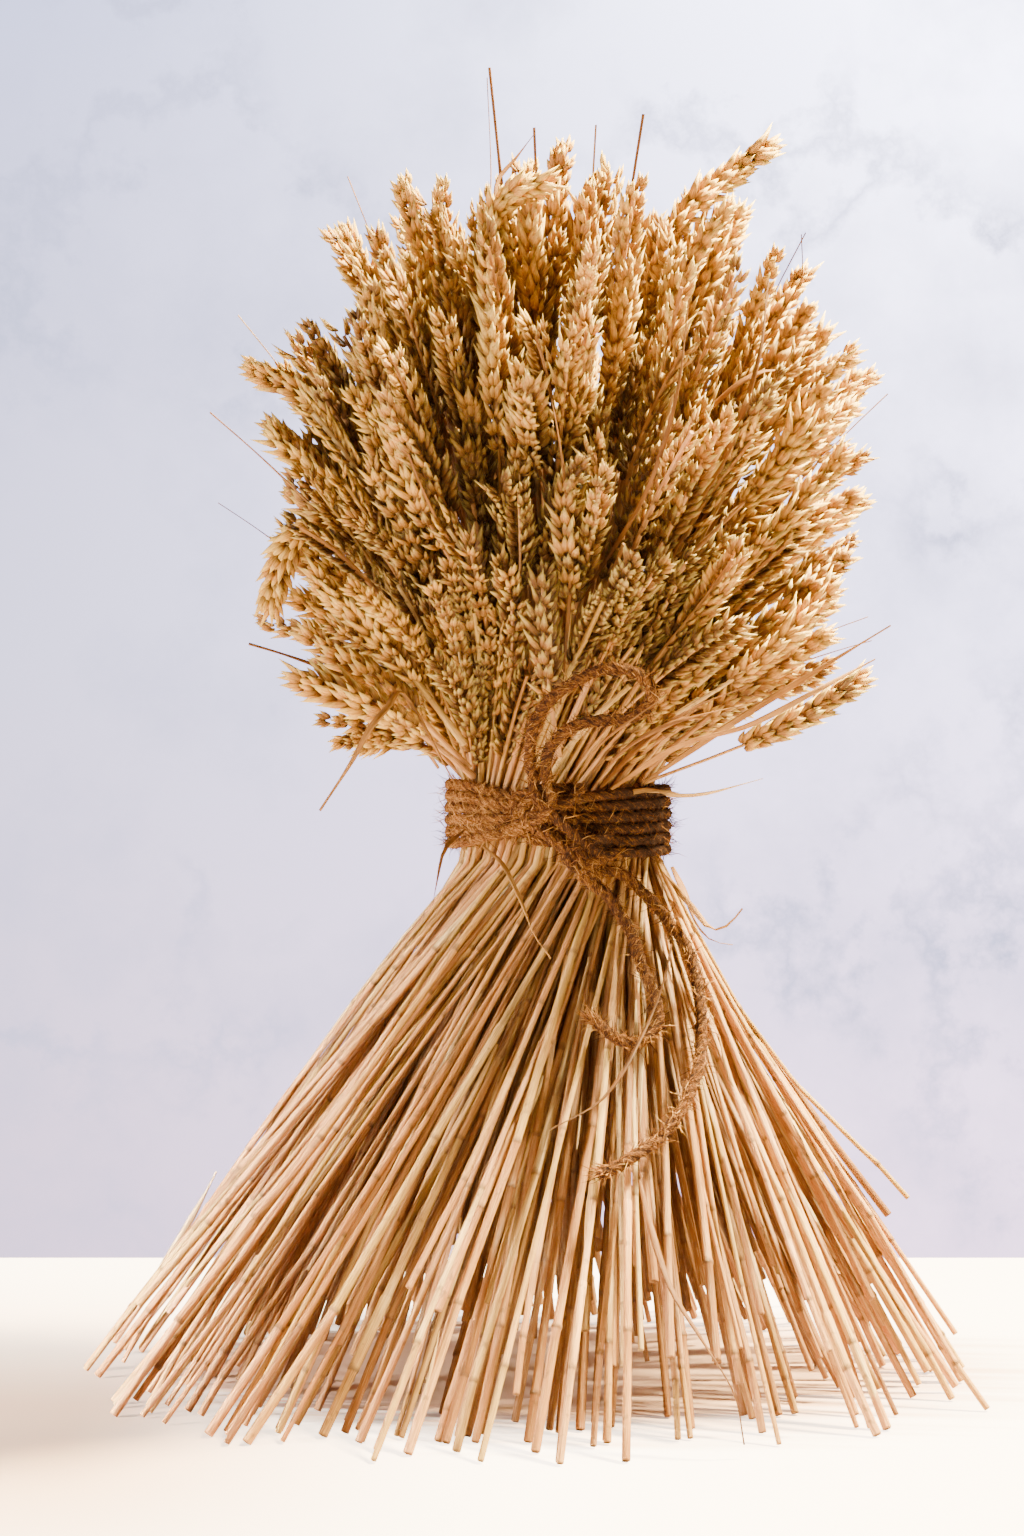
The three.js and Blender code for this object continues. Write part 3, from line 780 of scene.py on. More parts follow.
stemFacts = {
    # the radius at the foot, below the rope, above it and at the neck
    "radii": (1.9, 1.4, 1.4, 1.05), "ropeHeight": 33, "spread": (0.62, 1.3), "hollowDepth": 5,
    # the cut end and a swelling: distance, share of the radius, how brown
    "cutEnd": [(0.0, 0.62, 0.85), (0.02, 0.66, 0.5), (0.04, 0.96, 0.3), (0.6, 1.0, 0.0)],
    "knobSwell": (1.08, 1.24), "knobSpacing": (70, 120), "firstKnob": (12, 78),
    "sheath": 1.15, "sheathShare": 0.6, "sheathLength": (22, 66),
    "bow": 6, "barePart": (60, 190), "kink": 1.7, "highestKnob": 330, "innerTone": 0.3, "seed": 71,
}
earFacts = {"length": (62, 82), "shortest": 52, "thinnest": 0.8, "widest": 1.02, "neck": (12, 34), "steps": 7,
            "loneSize": 1.05, "loneRoll": 1.2, "loneTone": (0.4, 0.9)}


def perpendicular(heading, roll):
    reference = np.array([math.cos(roll), math.sin(roll), 0.2])
    return unit(reference - heading * float(reference @ heading))


def stalkLine(stalk, draws):
    # From the cut foot to the tip of the ear, as a fine polyline
    facts = sheafFacts
    top = np.array([*stalk["waist"], facts["ropeBottom"]])
    foot = np.array([*stalk["foot"], 0.0])
    end = top + (foot - top) * (1 - stalk["height"] / facts["ropeBottom"])
    run = unit(top - end)
    lift = stemFacts["radii"][0] * 1.1 * math.sqrt(max(1 - run[2] ** 2, 0))
    end = end + run * max(lift - end[2], 0) / run[2]
    sideways = unit(np.cross(run, upward))
    bow = (draws.between(-1, 1) * sideways + draws.between(-0.4, 0.8) * upward) * stemFacts["bow"]
    t = np.linspace(0, 1, 16, endpoint=False)[:, None]
    # Pinched by the rope, the stems swell out below it, and the most on the left
    waist = np.array([*stalk["waist"], 0.0]) / facts["looseRadius"]
    swell = waist * facts["bulge"] - np.array([max(-waist[0], 0) * facts["leftBulge"], 0, 0])
    swellShape = (1 - t) ** 0.6 * t ** 1.1 * 1.95
    lower = end + (top - end) * t + bow * np.sin(np.pi * t) * (0.5 + 0.5 * t) + swell * swellShape
    inside = [[*stalk["waist"], z] for z in np.linspace(facts["ropeBottom"], facts["ropeTop"], 4)[:-1]]
    return np.vstack([lower, inside, stalk["upper"]])


def addEar(paths, spine, roll, size, tone):
    wide = np.array([perpendicular(heading, roll) for heading in headingsOf(spine)])
    paths.add(spine, kind=1, size=size, tone=tone, wide=wide)


def addStem(paths, line, base, upperStart, draws, cut=True, outer=True):
    # The stem's stations: the hollow cut end, the swellings and the sheaths above them
    facts = stemFacts
    lengths = lengthsOf(line)
    stations = list(facts["cutEnd"]) if cut else [(0.0, 1.0, 0.0)]
    place = draws.between(*facts["firstKnob"])
    knobs = []
    while cut and place < min(base - 40, facts["highestKnob"]):
        knobs.append(place)
        swell = draws.between(*facts["knobSwell"])
        stations += [(place - 1.6, 1.0, 0.0), (place - 0.6, swell, 0.8), (place + 0.6, swell, 0.55)]
        sheath = 1.0
        if draws.one() < facts["sheathShare"]:
            sheath = facts["sheath"]
            end = place + draws.between(*facts["sheathLength"])
            stations += [(end, sheath * 1.03, 0.05), (end + 0.3, 1.0, 0.3)]
        stations.append((place + 2.0, sheath, 0.0))
        place += draws.between(*facts["knobSpacing"])
    fixed = [station[0] for station in stations]
    for extra in [*np.arange(35, upperStart - 40, 48), *np.linspace(upperStart - 40, upperStart, 3),
                  *np.linspace(upperStart, base, max(int((base - upperStart) / 20), 1) + 1)[1:]]:
        if 0 <= extra <= lengths[-1] and min(abs(extra - other) for other in fixed) > 3:
            stations.append((float(extra), 1.0, 0.0))
    distances, girths, browns = np.array(sorted(stations)).T
    # Stems inside the sheaf get darker tones, as painted shade between the stems
    tone = draws.one() * (1 if outer else facts["innerTone"])
    tones = np.full(len(stations), tone)
    for knob in knobs:
        part = np.clip(tone + draws.between(-0.3, 0.3), 0, 1 if outer else 0.4)
        tones = np.where(distances > knob, part, tones)
    marks = [0, max(upperStart - facts["ropeHeight"], 1), max(upperStart, 2), max(base, 3)]
    thick = np.interp(distances, marks, facts["radii"]) * draws.between(*facts["spread"])
    # The stem bends a little at each swelling
    corners = [0.0, *knobs, max(base, facts["highestKnob"] + 1)]
    kinks = np.array([[draws.between(-1, 1) for _ in range(3)] for _ in corners]) * facts["kink"]
    kinks[[0, -1]] = 0
    paths.add(pointsAt(line, lengths, distances) + pointsAt(kinks, corners, distances),
              tone=tones, knob=browns, girth=thick * girths * mm, along=distances * mm,
              inset=(distances == 0) * cut * facts["hollowDepth"] * mm,
              heading=headingsOf(pointsAt(line, lengths, distances + 0.5)))


def addStalk(paths, stalk, draws):
    line = stalkLine(stalk, draws)
    lengths = lengthsOf(line)
    upperLength = lengthsOf(stalk["upper"])[-1]
    whole = lengths[-1]
    upperStart = whole - upperLength
    outer = stalk["share"] > 0.7
    if not stalk["ear"]:
        bare = draws.between(*stemFacts["barePart"]) * (0.35 if stalk["hidden"] else 1)
        end = min(upperStart + bare, whole - 60)
        kept = pointsAt(line, lengths, np.append(lengths[lengths < end], end))
        addStem(paths, kept, end, upperStart, draws, outer=outer)
        return
    neck = draws.between(*earFacts["neck"])
    tip = whole - min(stalk["depth"], upperLength - neck - earFacts["shortest"])
    earLength = draws.between(*earFacts["length"])
    base = max(tip - earLength, upperStart + neck)
    # The ear's axis nods towards its tip
    steps = np.linspace(base, tip, earFacts["steps"])
    spine = pointsAt(line, lengths, steps)
    share = np.linspace(0, 1, earFacts["steps"])[:, None]
    flatness = 1 - abs(unit(spine[-1] - spine[0])[2])
    drop = (0.25 + flatness) * draws.one() ** 2 * sheafFacts["nod"]
    lean = np.array([draws.between(-1, 1), draws.between(-1, 1), 0]) * draws.one() * sheafFacts["nod"]
    spine = spine + share ** 2 * (lean - upward * drop)
    size = earFacts["thinnest"] + (earFacts["widest"] - earFacts["thinnest"]) * draws.one()
    addEar(paths, spine, stalk["roll"], size, draws.one())
    inside = pointsAt(spine, steps, [base + earLength * 0.5, tip - 4])
    line = np.vstack([pointsAt(line, lengths, np.append(lengths[lengths < base], base)), inside])
    addStem(paths, line, lengthsOf(line)[-1], upperStart, draws, outer=outer)


# Ears that stand apart in the photograph: the stem's route, whose last part is the ear, the ear's
# length, and its size where that isn't the usual one
loneEars = [
    ([(38, -60, 529), (64, -40, 572), (101, -30, 604)], 66),
    ([(40, -30, 292), (63, -45, 301), (86, -60, 310), (115, -65, 324), (141, -65, 341)], 62),
    ([(-60, -30, 380), (-100, -42, 418), (-112, -40, 422), (-126, -40, 415), (-134, -40, 402),
     (-140, -40, 382)], 58, 1.1),
    ([(-36, -30, 500), (-62, -26, 548), (-76, -22, 586)], 70),
    ([(-58, -20, 486), (-88, -16, 532), (-106, -12, 562)], 68),
    ([(-80, -20, 452), (-116, -20, 480), (-150, -16, 497)], 68, 1.1),
    ([(58, -30, 338), (96, -30, 358), (132, -24, 380)], 68, 1.1),
    ([(50, -40, 380), (100, -36, 405), (142, -30, 432)], 70, 1.0),
    ([(-8, -50, 400), (-12, -100, 445), (-15, -142, 469)], 60, 1.1),
    ([(20, -50, 330), (26, -95, 370), (30, -132, 391)], 56, 1.1),
    ([(-42, -30, 296), (-62, -60, 313), (-86, -75, 328), (-104, -80, 335), (-123, -80, 342)], 66, 1.1),
    ([(-30, -60, 500), (-34, -70, 545), (-28, -82, 568), (-10, -88, 574)], 52, 1.1),
    ([(2, -60, 340), (5, -104, 384), (2, -126, 428)], 62),
    ([(0, -56, 306), (-5, -90, 334), (-9, -116, 386)], 64),
    ([(-24, -50, 380), (-36, -80, 430), (-42, -96, 472)], 66),
    ([(30, -50, 390), (50, -72, 436), (62, -84, 480)], 66),
    ([(-4, -20, 500), (-3, -14, 560), (2, -8, 606)], 68),
    ([(46, -30, 490), (70, -24, 535), (88, -18, 572)], 66),
    ([(70, -40, 470), (98, -34, 508), (118, -28, 540)], 66),
    ([(80, -44, 420), (112, -42, 448), (140, -38, 474)], 66),
    ([(-44, -34, 300), (-82, -52, 338), (-120, -54, 364)], 66),
    ([(-46, -40, 312), (-84, -62, 360), (-114, -70, 388)], 66),
    ([(44, -36, 300), (86, -50, 336), (126, -52, 363)], 66),
    ([(76, -20, 440), (108, -10, 482), (131, -4, 514)], 66),
    ([(-20, -60, 440), (-30, -82, 492), (-34, -90, 536)], 64, 1.0),
    ([(-22, -60, 420), (-29, -96, 460), (-32, -112, 508)], 62, 1.0),
    ([(-8, -50, 470), (-12, -72, 520), (-14, -80, 562)], 62, 1.0),
    ([(-50, -40, 440), (-78, -66, 484), (-90, -70, 524)], 62, 1.0),
    ([(-40, -60, 380), (-66, -100, 424), (-78, -108, 456)], 62, 1.0),
    ([(16, -60, 440), (26, -92, 490), (32, -98, 530)], 62, 1.0),
    ([(60, -60, 400), (100, -66, 440), (124, -66, 478)], 64),
    ([(66, -50, 340), (106, -56, 374), (136, -52, 400)], 64),
    ([(70, -50, 380), (106, -60, 416), (134, -58, 448)], 64),
    ([(64, -40, 440), (98, -46, 486), (120, -40, 520)], 64),
    ([(56, -56, 326), (94, -70, 350), (128, -66, 384)], 64),
    ([(80, -30, 420), (122, -20, 460), (146, -14, 492)], 64),
    ([(80, -10, 380), (120, 0, 410), (150, 6, 432)], 64),
    ([(-70, -30, 400), (-112, -44, 440), (-138, -44, 460)], 64),
    ([(-60, -10, 360), (-96, -20, 386), (-124, -20, 400)], 64),
    ([(-58, -10, 338), (-94, -24, 366), (-126, -26, 382)], 62),
    ([(40, 20, 380), (76, 28, 412), (104, 30, 446)], 64),
]

# Stems that stand off from the others, from the cut end up to the rope
loneStems = [
    [(174, -8, 86), (121, -6, 139), (82, -4, 196), (48, -2, 262)],
    [(190, -60, 3), (128, -46, 100), (84, -34, 180), (46, -16, 262)],
]


def addLoneEar(clumps, draws, route, length, size=earFacts["loneSize"]):
    line = smoothPath(route, 3)
    lengths = lengthsOf(line)
    paths = clumps[outerClump(route[0])]
    steps = np.linspace(max(lengths[-1] - length, 2), lengths[-1], earFacts["steps"])
    addEar(paths, pointsAt(line, lengths, steps), earFacts["loneRoll"], size,
           draws.between(*earFacts["loneTone"]))
    addStem(paths, line, lengths[-1], 0, draws, cut=False)


leafFacts = {"halfWidth": 2.4, "rootHeight": 274.5, "offset": 2}
flakeFacts = {"count": 120, "seed": 29, "start": (20, 190), "length": (25, 85), "lift": (2, 9), "stray": 4,
              "halfWidth": (0.9, 2.0), "tone": (0.35, 1.0), "innermost": 0.7, "stemRadius": 1.9}
leafTips = [
    (-34, -40, 641), (-12, -20, 616), (-104, -20, 592), (-112, 10, 572), (-159, -10, 525), (-174, 0, 478),
    (-168, -20, 431), (-152, -30, 361), (40, -60, 614), (122, -20, 564), (165, 0, 487), (144, -40, 409),
    (158, 10, 364), (90, 90, 590), (-20, 120, 600), (-100, 130, 500), (60, 160, 480), (150, 80, 520),
    (20, 30, 628),
]
# Blades seen in the photograph: route, half-width, turn about its line in radians, tone
blades = [
    ([(-50, -55, 292), (-76, -70, 337), (-82, -85, 329), (-89, -95, 320), (-98, -98, 303),
     (-113, -95, 280)], 2.0, 1.5, 0.45),
    ([(30, -35, 285), (39, -45, 289), (59, -48, 287), (71, -50, 288), (87, -54, 292), (98, -54, 295)], 1.6,
     2.5, 0.8),
    ([(15, -52, 289), (30, -80, 308), (48, -105, 319), (63, -120, 324), (84, -120, 329)], 1.7, 0.8, 0.35),
    ([(20, -50, 291), (42, -85, 314), (64, -110, 329), (87, -120, 338)], 1.9, -1.0, 0.3),
    ([(7, -55, 293), (19, -85, 311), (31, -105, 321), (45, -120, 331)], 1.5, 1.0, 0.4),
    ([(25, -50, 290), (56, -88, 311), (86, -112, 320), (118, -108, 336), (150, -70, 352)], 1.9, 1.6, 0.45),
    ([(40, -35, 292), (80, -60, 320), (120, -62, 345), (160, -50, 369)], 1.7, 1.0, 0.45),
    ([(56, -20, 251), (61, -40, 238), (66, -55, 224), (73, -60, 217), (83, -60, 215)], 2.0, 2.5, 0.35),
    ([(50, -30, 250), (63, -55, 234), (73, -65, 223), (80, -68, 225), (87, -68, 233)], 1.5, 1.5, 0.5),
    ([(-37, -48, 262), (-28, -62, 254), (-22, -72, 243), (-17, -82, 232), (-13, -90, 222),
     (-5, -100, 211)], 1.6, 1.8, 0.62),
    ([(53, -70, 216), (49, -84, 202), (45, -92, 191), (36, -108, 174), (26, -122, 158), (16, -130, 147),
     (-6, -140, 136)], 1.7, 1.2, 0.05),
    ([(35, -130, 112), (40, -150, 92), (48, -170, 69), (62, -185, 47), (74, -195, 27), (78, -197, 6)], 1.8,
     3.0, 0.25),
    ([(-46, -45, 270), (-56, -62, 260), (-59, -66, 246), (-61, -66, 234)], 1.2, 0.8, 0.3),
    ([(30, -40, 420), (67, -60, 467), (94, -60, 489), (116, -50, 491), (136, -50, 488), (150, -50, 485)],
     1.4, 2.0, 0.35),
    ([(70, -30, 450), (97, -50, 502), (104, -50, 514), (112, -50, 527), (117, -50, 536), (117, -50, 558)],
     1.3, 1.2, 0.3),
    ([(-28, -70, 400), (-29, -92, 473), (-34, -70, 550), (-33, -50, 585), (-35, -40, 636)], 1.8, 1.0, 0.45),
    ([(-31, -50, 560), (-30, -40, 586), (-22, -35, 597), (-12, -30, 611)], 1.1, 1.5, 0.35),
    ([(10, -70, 380), (40, -118, 430), (52, -132, 470), (58, -128, 515)], 1.1, 1.2, 0.25),
    ([(-20, -70, 360), (-60, -110, 420), (-78, -112, 470), (-84, -100, 520)], 1.2, -1.4, 0.3),
    ([(30, -60, 380), (74, -100, 440), (92, -98, 490), (98, -84, 530)], 1.6, 1.4, 0.3),
    ([(0, -80, 330), (4, -118, 400), (-2, -138, 450), (-12, -140, 500)], 1.0, 1.8, 0.2),
    ([(-60, 20, 300), (-100, 60, 360), (-130, 90, 420), (-138, 100, 470)], 2.2, 1.5, 0.5),
    ([(20, 60, 300), (40, 110, 360), (54, 150, 420), (50, 160, 500)], 2.2, -1.5, 0.6),
    ([(50, 30, 300), (100, 70, 340), (140, 90, 370), (165, 84, 380)], 2.4, 2.0, 0.5),
    ([(-20, 60, 296), (-40, 110, 330), (-50, 150, 350), (-66, 170, 340)], 2.6, 1.0, 0.7),
]


def addBlade(paths, route, halfWidth, draws, twist=None, tone=None):
    # A flat dry blade that narrows to its tip and turns about its own line
    line = smoothPath(route, 6)
    lengths = lengthsOf(line) / lengthsOf(line)[-1]
    roll = draws.between(0, math.pi)
    turn = draws.between(-1.5, 1.5) if twist is None else twist
    wide = np.array([perpendicular(h, roll + turn * s) for h, s in zip(headingsOf(line), lengths)])
    girth = halfWidth * np.clip((1 - lengths) * 2.6, 0.3, 1) * (0.45 + 0.55 * np.clip(lengths * 4, 0, 1))
    paths.add(line, kind=2, girth=girth * mm, wide=wide,
              tone=draws.between(0.15, 0.75) if tone is None else tone)


def addLeaf(clumps, tip, draws):
    facts = sheafFacts
    target = np.array(tip, float)
    outward = target - upward * facts["headHeight"]
    azimuth = math.atan2(outward[1], outward[0])
    low = math.acos(outward[2] / np.linalg.norm(outward))
    share = min(math.sqrt((1 - math.cos(low)) / (1 - math.cos(headEdge(azimuth)))), 1)
    loose = polar(share * facts["looseRadius"], azimuth - math.radians(facts["headTurn"]))
    clump = nearestClump(loose)
    waist = clumpPlaces[clump] + unit(loose - clumpPlaces[clump]) * leafFacts["offset"]
    line = curveTo(target, share, waist)
    root = np.array([[*waist, leafFacts["rootHeight"]]])
    addBlade(clumps[clump], np.vstack([root, line[:-1:3], line[-1:]]), leafFacts["halfWidth"], draws)


def addFlakes(clumps, stalks, facts):
    # Dry strips of sheath that lift off the stems below the rope
    draws = Draws(facts["seed"])
    for _ in range(facts["count"]):
        stalk = stalks[int(draws.between(0, len(stalks)))]
        if stalk["share"] < facts["innermost"]:
            continue
        line = stalkLine(stalk, Draws(5))
        start, length = draws.between(*facts["start"]), draws.between(*facts["length"])
        part = pointsAt(line, lengthsOf(line), np.linspace(start, start + length, 6))
        outward = unit(np.array([*stalk["foot"], 24.0]))
        lift = draws.between(*facts["lift"]) * draws.one()
        lifted = np.linspace(0, 1, 6)[:, None] ** 2
        if draws.one() < 0.5:
            part = part[::-1]
        side = unit(np.cross(part[-1] - part[0], outward)) * draws.between(-1, 1) * facts["stray"]
        part = part + outward * (facts["stemRadius"] + lifted * lift) + side * lifted
        addBlade(clumps[stalk["clump"]], part, draws.between(*facts["halfWidth"]), draws,
                 draws.between(-1, 1), draws.between(*facts["tone"]))


spikeletFacts = {
    # each husk: tilt across and outward in degrees, where it starts, length, half-width
    "husks": [(-30, 6, (0.2, -1.5, 0.0), 8.6, 2.0), (30, 6, (0.2, 1.5, 0.0), 8.6, 2.0),
              (-14, -3, (0.9, -1.0, 1.3), 11.0, 2.2), (15, 0, (0.8, 1.1, 2.0), 10.6, 2.15),
              (2, -9, (1.5, 0.0, 3.6), 8.8, 1.95)],
    "kinds": 5, "seed": 5, "beak": (0.4, 2.2), "awn": (3.0, 8.0),
}


def huskMesh(length, halfWidth, beak):
    # A pointed husk: five corners round, two rings, a keel on its outer side and a beak
    points, tips = [(0, 0, 0)], [0.0]
    for share, radius, out in ((0.24, 0.92, 0.3), (0.62, 0.84, 0.36)):
        for x, y in [(1.0, 0.0), (0.45, 0.95), (-0.55, 0.62), (-0.55, -0.62), (0.45, -0.95)]:
            points.append((halfWidth * (0.8 * radius * x + out), halfWidth * radius * y, length * share))
            tips.append(share)
    points.append((0.1 * halfWidth, 0, length + beak))
    faces = []
    for k in range(5):
        after = (k + 1) % 5
        faces += [(0, 1 + after, 1 + k), (1 + k, 1 + after, 6 + after, 6 + k), (6 + k, 6 + after, 11)]
    return np.array(points, float), [*tips, 1.0], faces


def tilt(degrees, axis):
    angle = math.radians(degrees)
    matrix = np.eye(3)
    matrix[axis, axis] = matrix[2, 2] = math.cos(angle)
    matrix[axis, 2], matrix[2, axis] = math.sin(angle), -math.sin(angle)
    return matrix.T


def makeSpikelets(facts):
    draws = Draws(facts["seed"])
    spikelets = []
    for kind in range(facts["kinds"]):
        points, tips, faces, fibres = [], [], [], []
        for k, (across, outward, start, length, halfWidth) in enumerate(facts["husks"]):
            beak = draws.between(*facts["awn" if kind >= 3 and k in (2, 3) else "beak"])
            length, halfWidth = length * draws.between(0.88, 1.1), halfWidth * draws.between(0.9, 1.1)
            own, tip, sides = huskMesh(length, halfWidth, beak)
            faces += [tuple(i + len(points) for i in side) for side in sides]
            fibres += (own * [0.9, 0.9, 0.09] + [k * 3.7 + kind * 9.1, 0, 0]).tolist()
            own = own @ tilt(across + draws.between(-8, 8), 1) @ tilt(outward + draws.between(-8, 8), 0)
            points += (own + start).tolist()
            tips += tip
        mesh = meshOf(f"spikelet{kind}", points, [], faces)
        setLayer(mesh, "tip", tips)
        setLayer(mesh, "fibre", fibres)
        spikelets.append(addObject(mesh.name, mesh))
    return spikelets


# What the tree of a clump takes, with the stand-off in metres
strawSizes = {"Stem Sides": 5, "Spikelets": 18, "Lean At Base": 0.56, "Lean At Tip": 0.28,
              "Stand Off": 0.9 * mm, "Ruffle": 0.2, "Blade Thickness": 0.32, "Stem Material": stemStraw,
              "Husk Material": huskGold, "Blade Material": leafDry}


def makeStrawTree(spikelets):
    # Stems, ears and blades of one clump, each grown along its own paths
    net, entry = newTree("strawClump", strawSizes)

    def only(kind):
        match = net.math("COMPARE", net.fact("kind"), kind, 0.1)
        part = net.node("GeometryNodeSeparateGeometry", {"domain": "POINT"}, {
            "Geometry": entry, "Selection": match})
        return net.node("GeometryNodeMeshToCurve", {}, {"Mesh": part})

    def tube(curve, ring, stretch, material):
        ring = net.store(ring, "round", net.node("GeometryNodeInputPosition"))
        skin = net.swept(curve, ring, net.fact("girth"))
        skin = net.moved(skin, Offset=net.scaled(net.fact("heading"), net.fact("inset")))
        return net.solid(net.grained(skin, 0.5, 31, stretch), entry[material])

    stems = tube(only(0), net.ring(entry["Stem Sides"]), 7.0, "Stem Material")

    place = net.node("GeometryNodeInputPosition")
    folded = net.vector("MULTIPLY", place, net.combine(X=1.0, Y=entry["Blade Thickness"], Z=1.0))
    keel = net.math("ABSOLUTE", net.split(place)) * 0.35
    flat = net.moved(net.ring(6), Position=net.vector("ADD", folded, net.combine(Y=keel)))
    blades = net.node("GeometryNodeSetCurveNormal", {"mode": "FREE"}, {
        "Curve": only(2), "Normal": net.fact("wide")})
    blades = tube(blades, flat, 14.0, "Blade Material")

    spots = net.node("GeometryNodeResampleCurve", {"mode": "COUNT"}, {
        "Curve": only(1), "Count": entry["Spikelets"]})
    share = net.node("GeometryNodeSplineParameter")
    side = net.math("MODULO", share["Index"], 2.0) * 2 - 1
    outward = net.scaled(net.fact("wide"), side)
    lean = net.remap(share, 0.0, 1.0, entry["Lean At Base"], entry["Lean At Tip"])
    direction = net.vector("ADD", net.fact("heading"), net.scaled(outward, lean))
    wobble = net.scaled(net.random((-1.0, -1.0, -1.0), (1.0, 1.0, 1.0), 31), entry["Ruffle"])
    direction = net.vector("ADD", direction, wobble)
    size = net.fact("size") * net.random(0.9, 1.12, 33) * (0.78 + share * (1 - share))
    spots = net.moved(spots, Offset=net.scaled(outward, entry["Stand Off"]))
    ears = net.planted(spots, spikelets, direction, outward, size, 32)
    ears = net.store(ears, "tone", net.fact("tone") + net.random(-0.38, 0.38, 34), "INSTANCE")
    ears = net.solid(ears, entry["Husk Material"])
    own = net.combine(Y=net.fact("tone") * 23)
    ears = net.store(ears, "fibre", net.vector("ADD", net.fact("fibre"), own))
    return net.close(net.node("GeometryNodeJoinGeometry", {}, {"Geometry": [stems, ears, blades]}))


def makeStraw(facts):
    stalks = cadStalks(facts)
    stalks += fillIns(facts, stalks)
    clumps = [Paths() for _ in clumpPlaces]
    draws = Draws(stemFacts["seed"])
    for stalk in stalks:
        addStalk(clumps[stalk["clump"]], stalk, draws)
    for tip in leafTips:
        addLeaf(clumps, tip, draws)
    for ear in loneEars:
        addLoneEar(clumps, draws, *ear)
    for route in loneStems:
        line = smoothPath(route, 12)
        whole = lengthsOf(line)[-1]
        addStem(clumps[nearestClump(route[-1][:2])], line, whole, whole, draws)
    for route, halfWidth, twist, tone in blades:
        addBlade(clumps[outerClump(route[0])], route, halfWidth, draws, twist, tone)
    addFlakes(clumps, stalks, flakeFacts)
    spikelets = makeSpikelets(spikeletFacts)
    tree = makeStrawTree(spikelets)
    total = 0
    for i, paths in enumerate(clumps):
        name = f"straw_{i + 1:02d}"
        piece = growPiece(name, paths.mesh(name), tree, strawSizes)
        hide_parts(f"stalk_clump_{i + 1:02d}")
        total += sum(len(face.vertices) - 2 for face in piece.data.polygons)
    for spikelet in spikelets:
        bpy.data.objects.remove(spikelet)
    print("stalks", len(stalks), "triangles", total)


makeStraw(sheafFacts)
print("straw made")


# Floor, backdrop colour and studio light
studioFacts = {
    "floorBack": 337, "floorSize": 4000, "floorColour": (0.50, 0.46, 0.44), "floorGlow": 7.4,
    # the backdrop at the left and at the right: low down, in the middle, high up
    "wall": [((1.9, 1.45, 2.0), (3.4, 2.4, 3.5)), ((1.75, 1.66, 2.3), (3.1, 2.8, 4.1)),
             ((1.4, 1.48, 2.35), (8.2, 8.3, 11.0))],
    "fill": 0.035, "fillColour": (1.0, 0.96, 0.95),
    # each light: place, what it looks at, size in metres, watts, colour, spread in degrees
    "lights": [((1.4, 0.26, 2.4), (0, 0, 0.35), 0.35, 1080, (1.0, 0.845, 0.45), 180),
               ((-2.1, -1.0, 0.4), (0, 0, 0.1), 0.8, 72, (1.0, 0.90, 0.74), 180),
               ((-1.5, -0.7, 0.35), (-0.19, 0, 0.0), 0.3, 4.0, (1.0, 0.89, 0.66), 20),
               ((0.4, 1.8, 1.6), (0, 0, 0.5), 0.8, 22, (1.0, 0.92, 0.80), 180)],
}


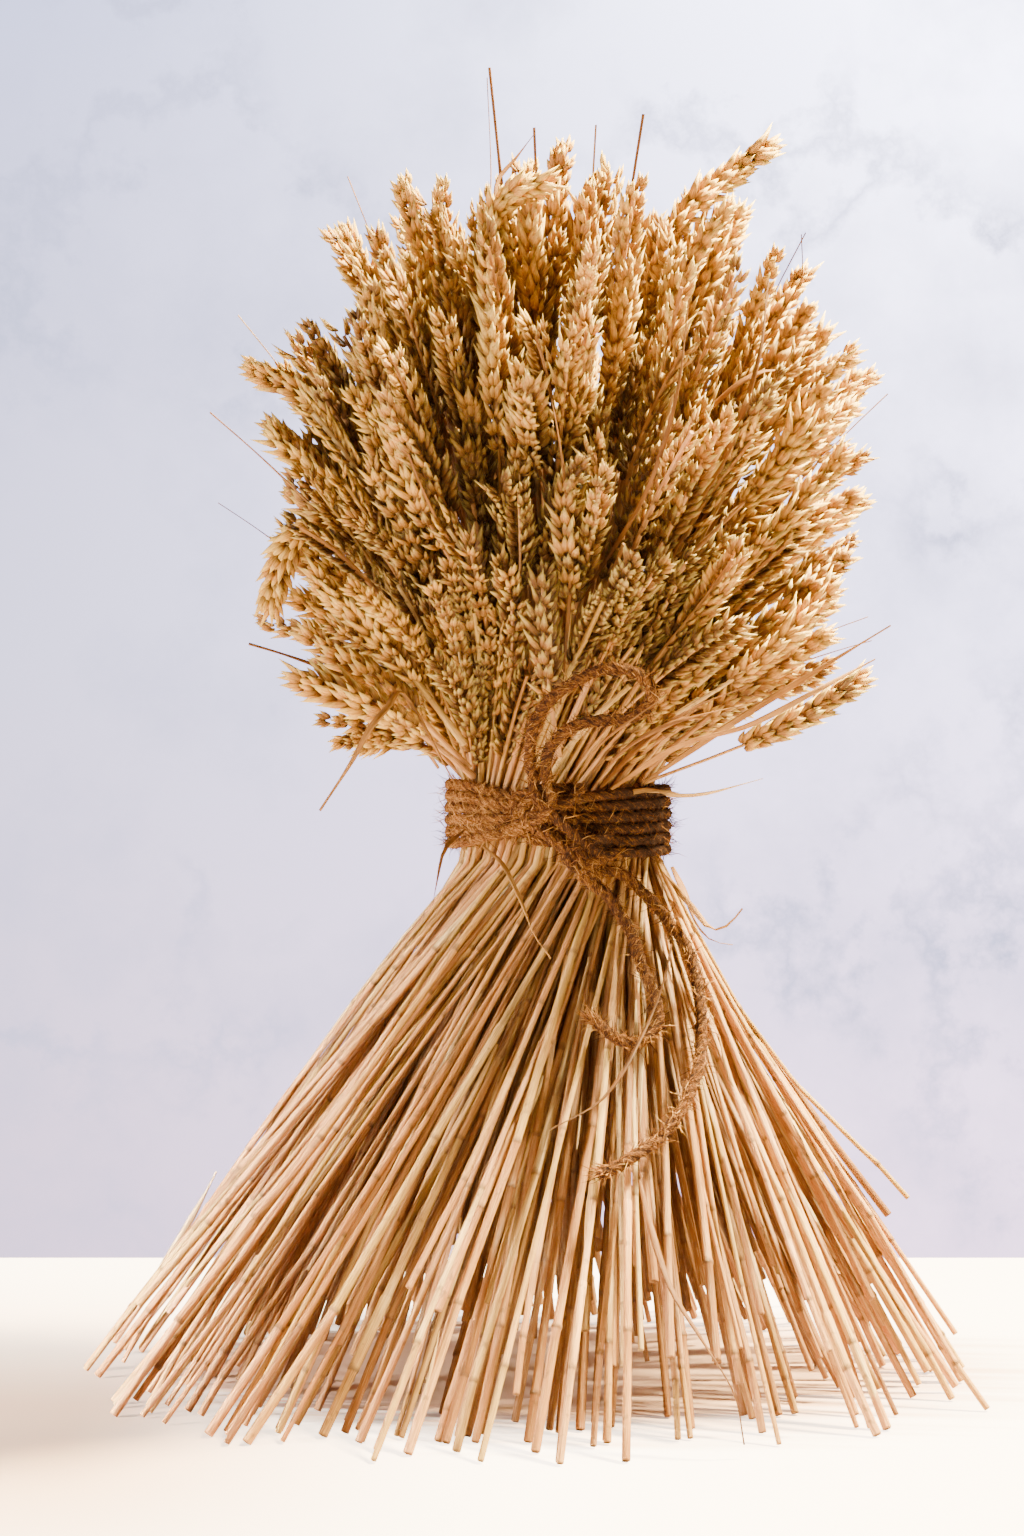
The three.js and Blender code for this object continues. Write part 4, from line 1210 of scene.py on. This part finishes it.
def makeFloor(facts):
    material, net = newMaterial("paleFloor")
    place = net.place()
    across = net.split(place)
    deep = across["Y"]
    # Painted shadow of the sheaf, in streaks that run to the left and back, and a painted shadow band at the
    # left
    streak = net.noise(net.combine(X=across * 5, Y=(deep + across * 0.12) * 75), 1.0, 2.0, 0.6)
    under = (across * across * 14 + deep * deep * 30) ** 0.5 + (streak - 0.5) * 0.5
    under = net.remap(under, 0.55, 1.15, 1.0, 0.0, "SMOOTHSTEP")
    left = net.remap(across, 0.03, -0.22, 0.0, 0.93, "SMOOTHSTEP")
    band = net.remap(net.math("ABSOLUTE", deep + 0.13), 0.03, 0.46, 1.0, 0.08, "SMOOTHSTEP")
    shade = net.math("MAXIMUM", under, left * band)
    seen = net.node("ShaderNodeLightPath", out="Is Camera Ray")
    tint = net.stained(facts["floorColour"], (net.noise(place, 2.5), 0.3, 0.7, 0.25, (0.46, 0.42, 0.40)))
    net.fill(material.node_tree.nodes["Principled BSDF"], {
        "Base Color": net.mix(shade * 0.8, tint, (0.66, 0.38, 0.27)), "Roughness": 0.6,
        "Specular IOR Level": 0.2, "Emission Strength": facts["floorGlow"],
        "Emission Color": net.mix(seen * (1 - shade), (0.0, 0.0, 0.0), (1.0, 0.82, 0.66))})
    half, back = facts["floorSize"], facts["floorBack"]
    mesh = meshOf("floor", [(-half, -half, 0), (half, -half, 0), (half, back, 0), (-half, back, 0)],
                  [], [(0, 1, 2, 3)])
    mesh.materials.append(material)
    addObject("floor", mesh)


def makeWall(facts):
    world = bpy.data.worlds.new("studio")
    world.use_nodes = True
    bpy.context.scene.world = world
    net = Net(world.node_tree)
    seen = net.node("ShaderNodeLightPath", out="Is Camera Ray")
    ray = net.node("ShaderNodeTexCoord", out="Generated")
    spot = net.split(ray)
    # Painted light: the backdrop is brighter to the right and towards the top
    side, rise = net.remap(spot, -0.17, 0.17), spot["Z"]
    low, middle, high = [net.mix(side ** power, left, right)
                         for power, (left, right) in zip((1, 1, 1.7), facts["wall"])]
    wall = net.mix(net.remap(rise, 0.04, -0.16), middle, low)
    wall = net.mix(net.remap(rise, -0.16, 0.25) ** 3, wall, high)
    # Cloudy marble with a few thin veins
    vein = net.remap(net.math("ABSOLUTE", net.noise(ray, 7.0, 8.0, 0.62) - 0.5), 0.035, 0.0)
    vein = vein * net.remap(net.noise(ray, 9.0), 0.48, 0.6)
    grey = net.remap(net.noise(ray, 11.0, 6.0, 0.62), 0.46, 0.68) * 0.45 + vein * 0.5
    wall = net.mix(grey, wall, (1.1, 1.15, 1.75))
    light = tuple(facts["fill"] * part for part in facts["fillColour"])
    net.fill(world.node_tree.nodes["Background"], {"Color": net.mix(seen, light, wall)})


def makeLights(facts):
    for k, (place, target, size, watts, colour, spread) in enumerate(facts["lights"]):
        data = bpy.data.lights.new(f"softbox{k}", "AREA")
        data.shape = "DISK"
        data.size = size
        data.energy = watts
        data.color = colour
        data.spread = math.radians(spread)
        lamp = addObject(f"softbox{k}", data)
        lamp.location = place
        away = np.array(place) - np.array(target)
        lamp.rotation_euler = (math.atan2(math.hypot(away[0], away[1]), away[2]), 0,
                               math.atan2(away[0], -away[1]))


makeFloor(studioFacts)
makeWall(studioFacts)
makeLights(studioFacts)
print("studio made")
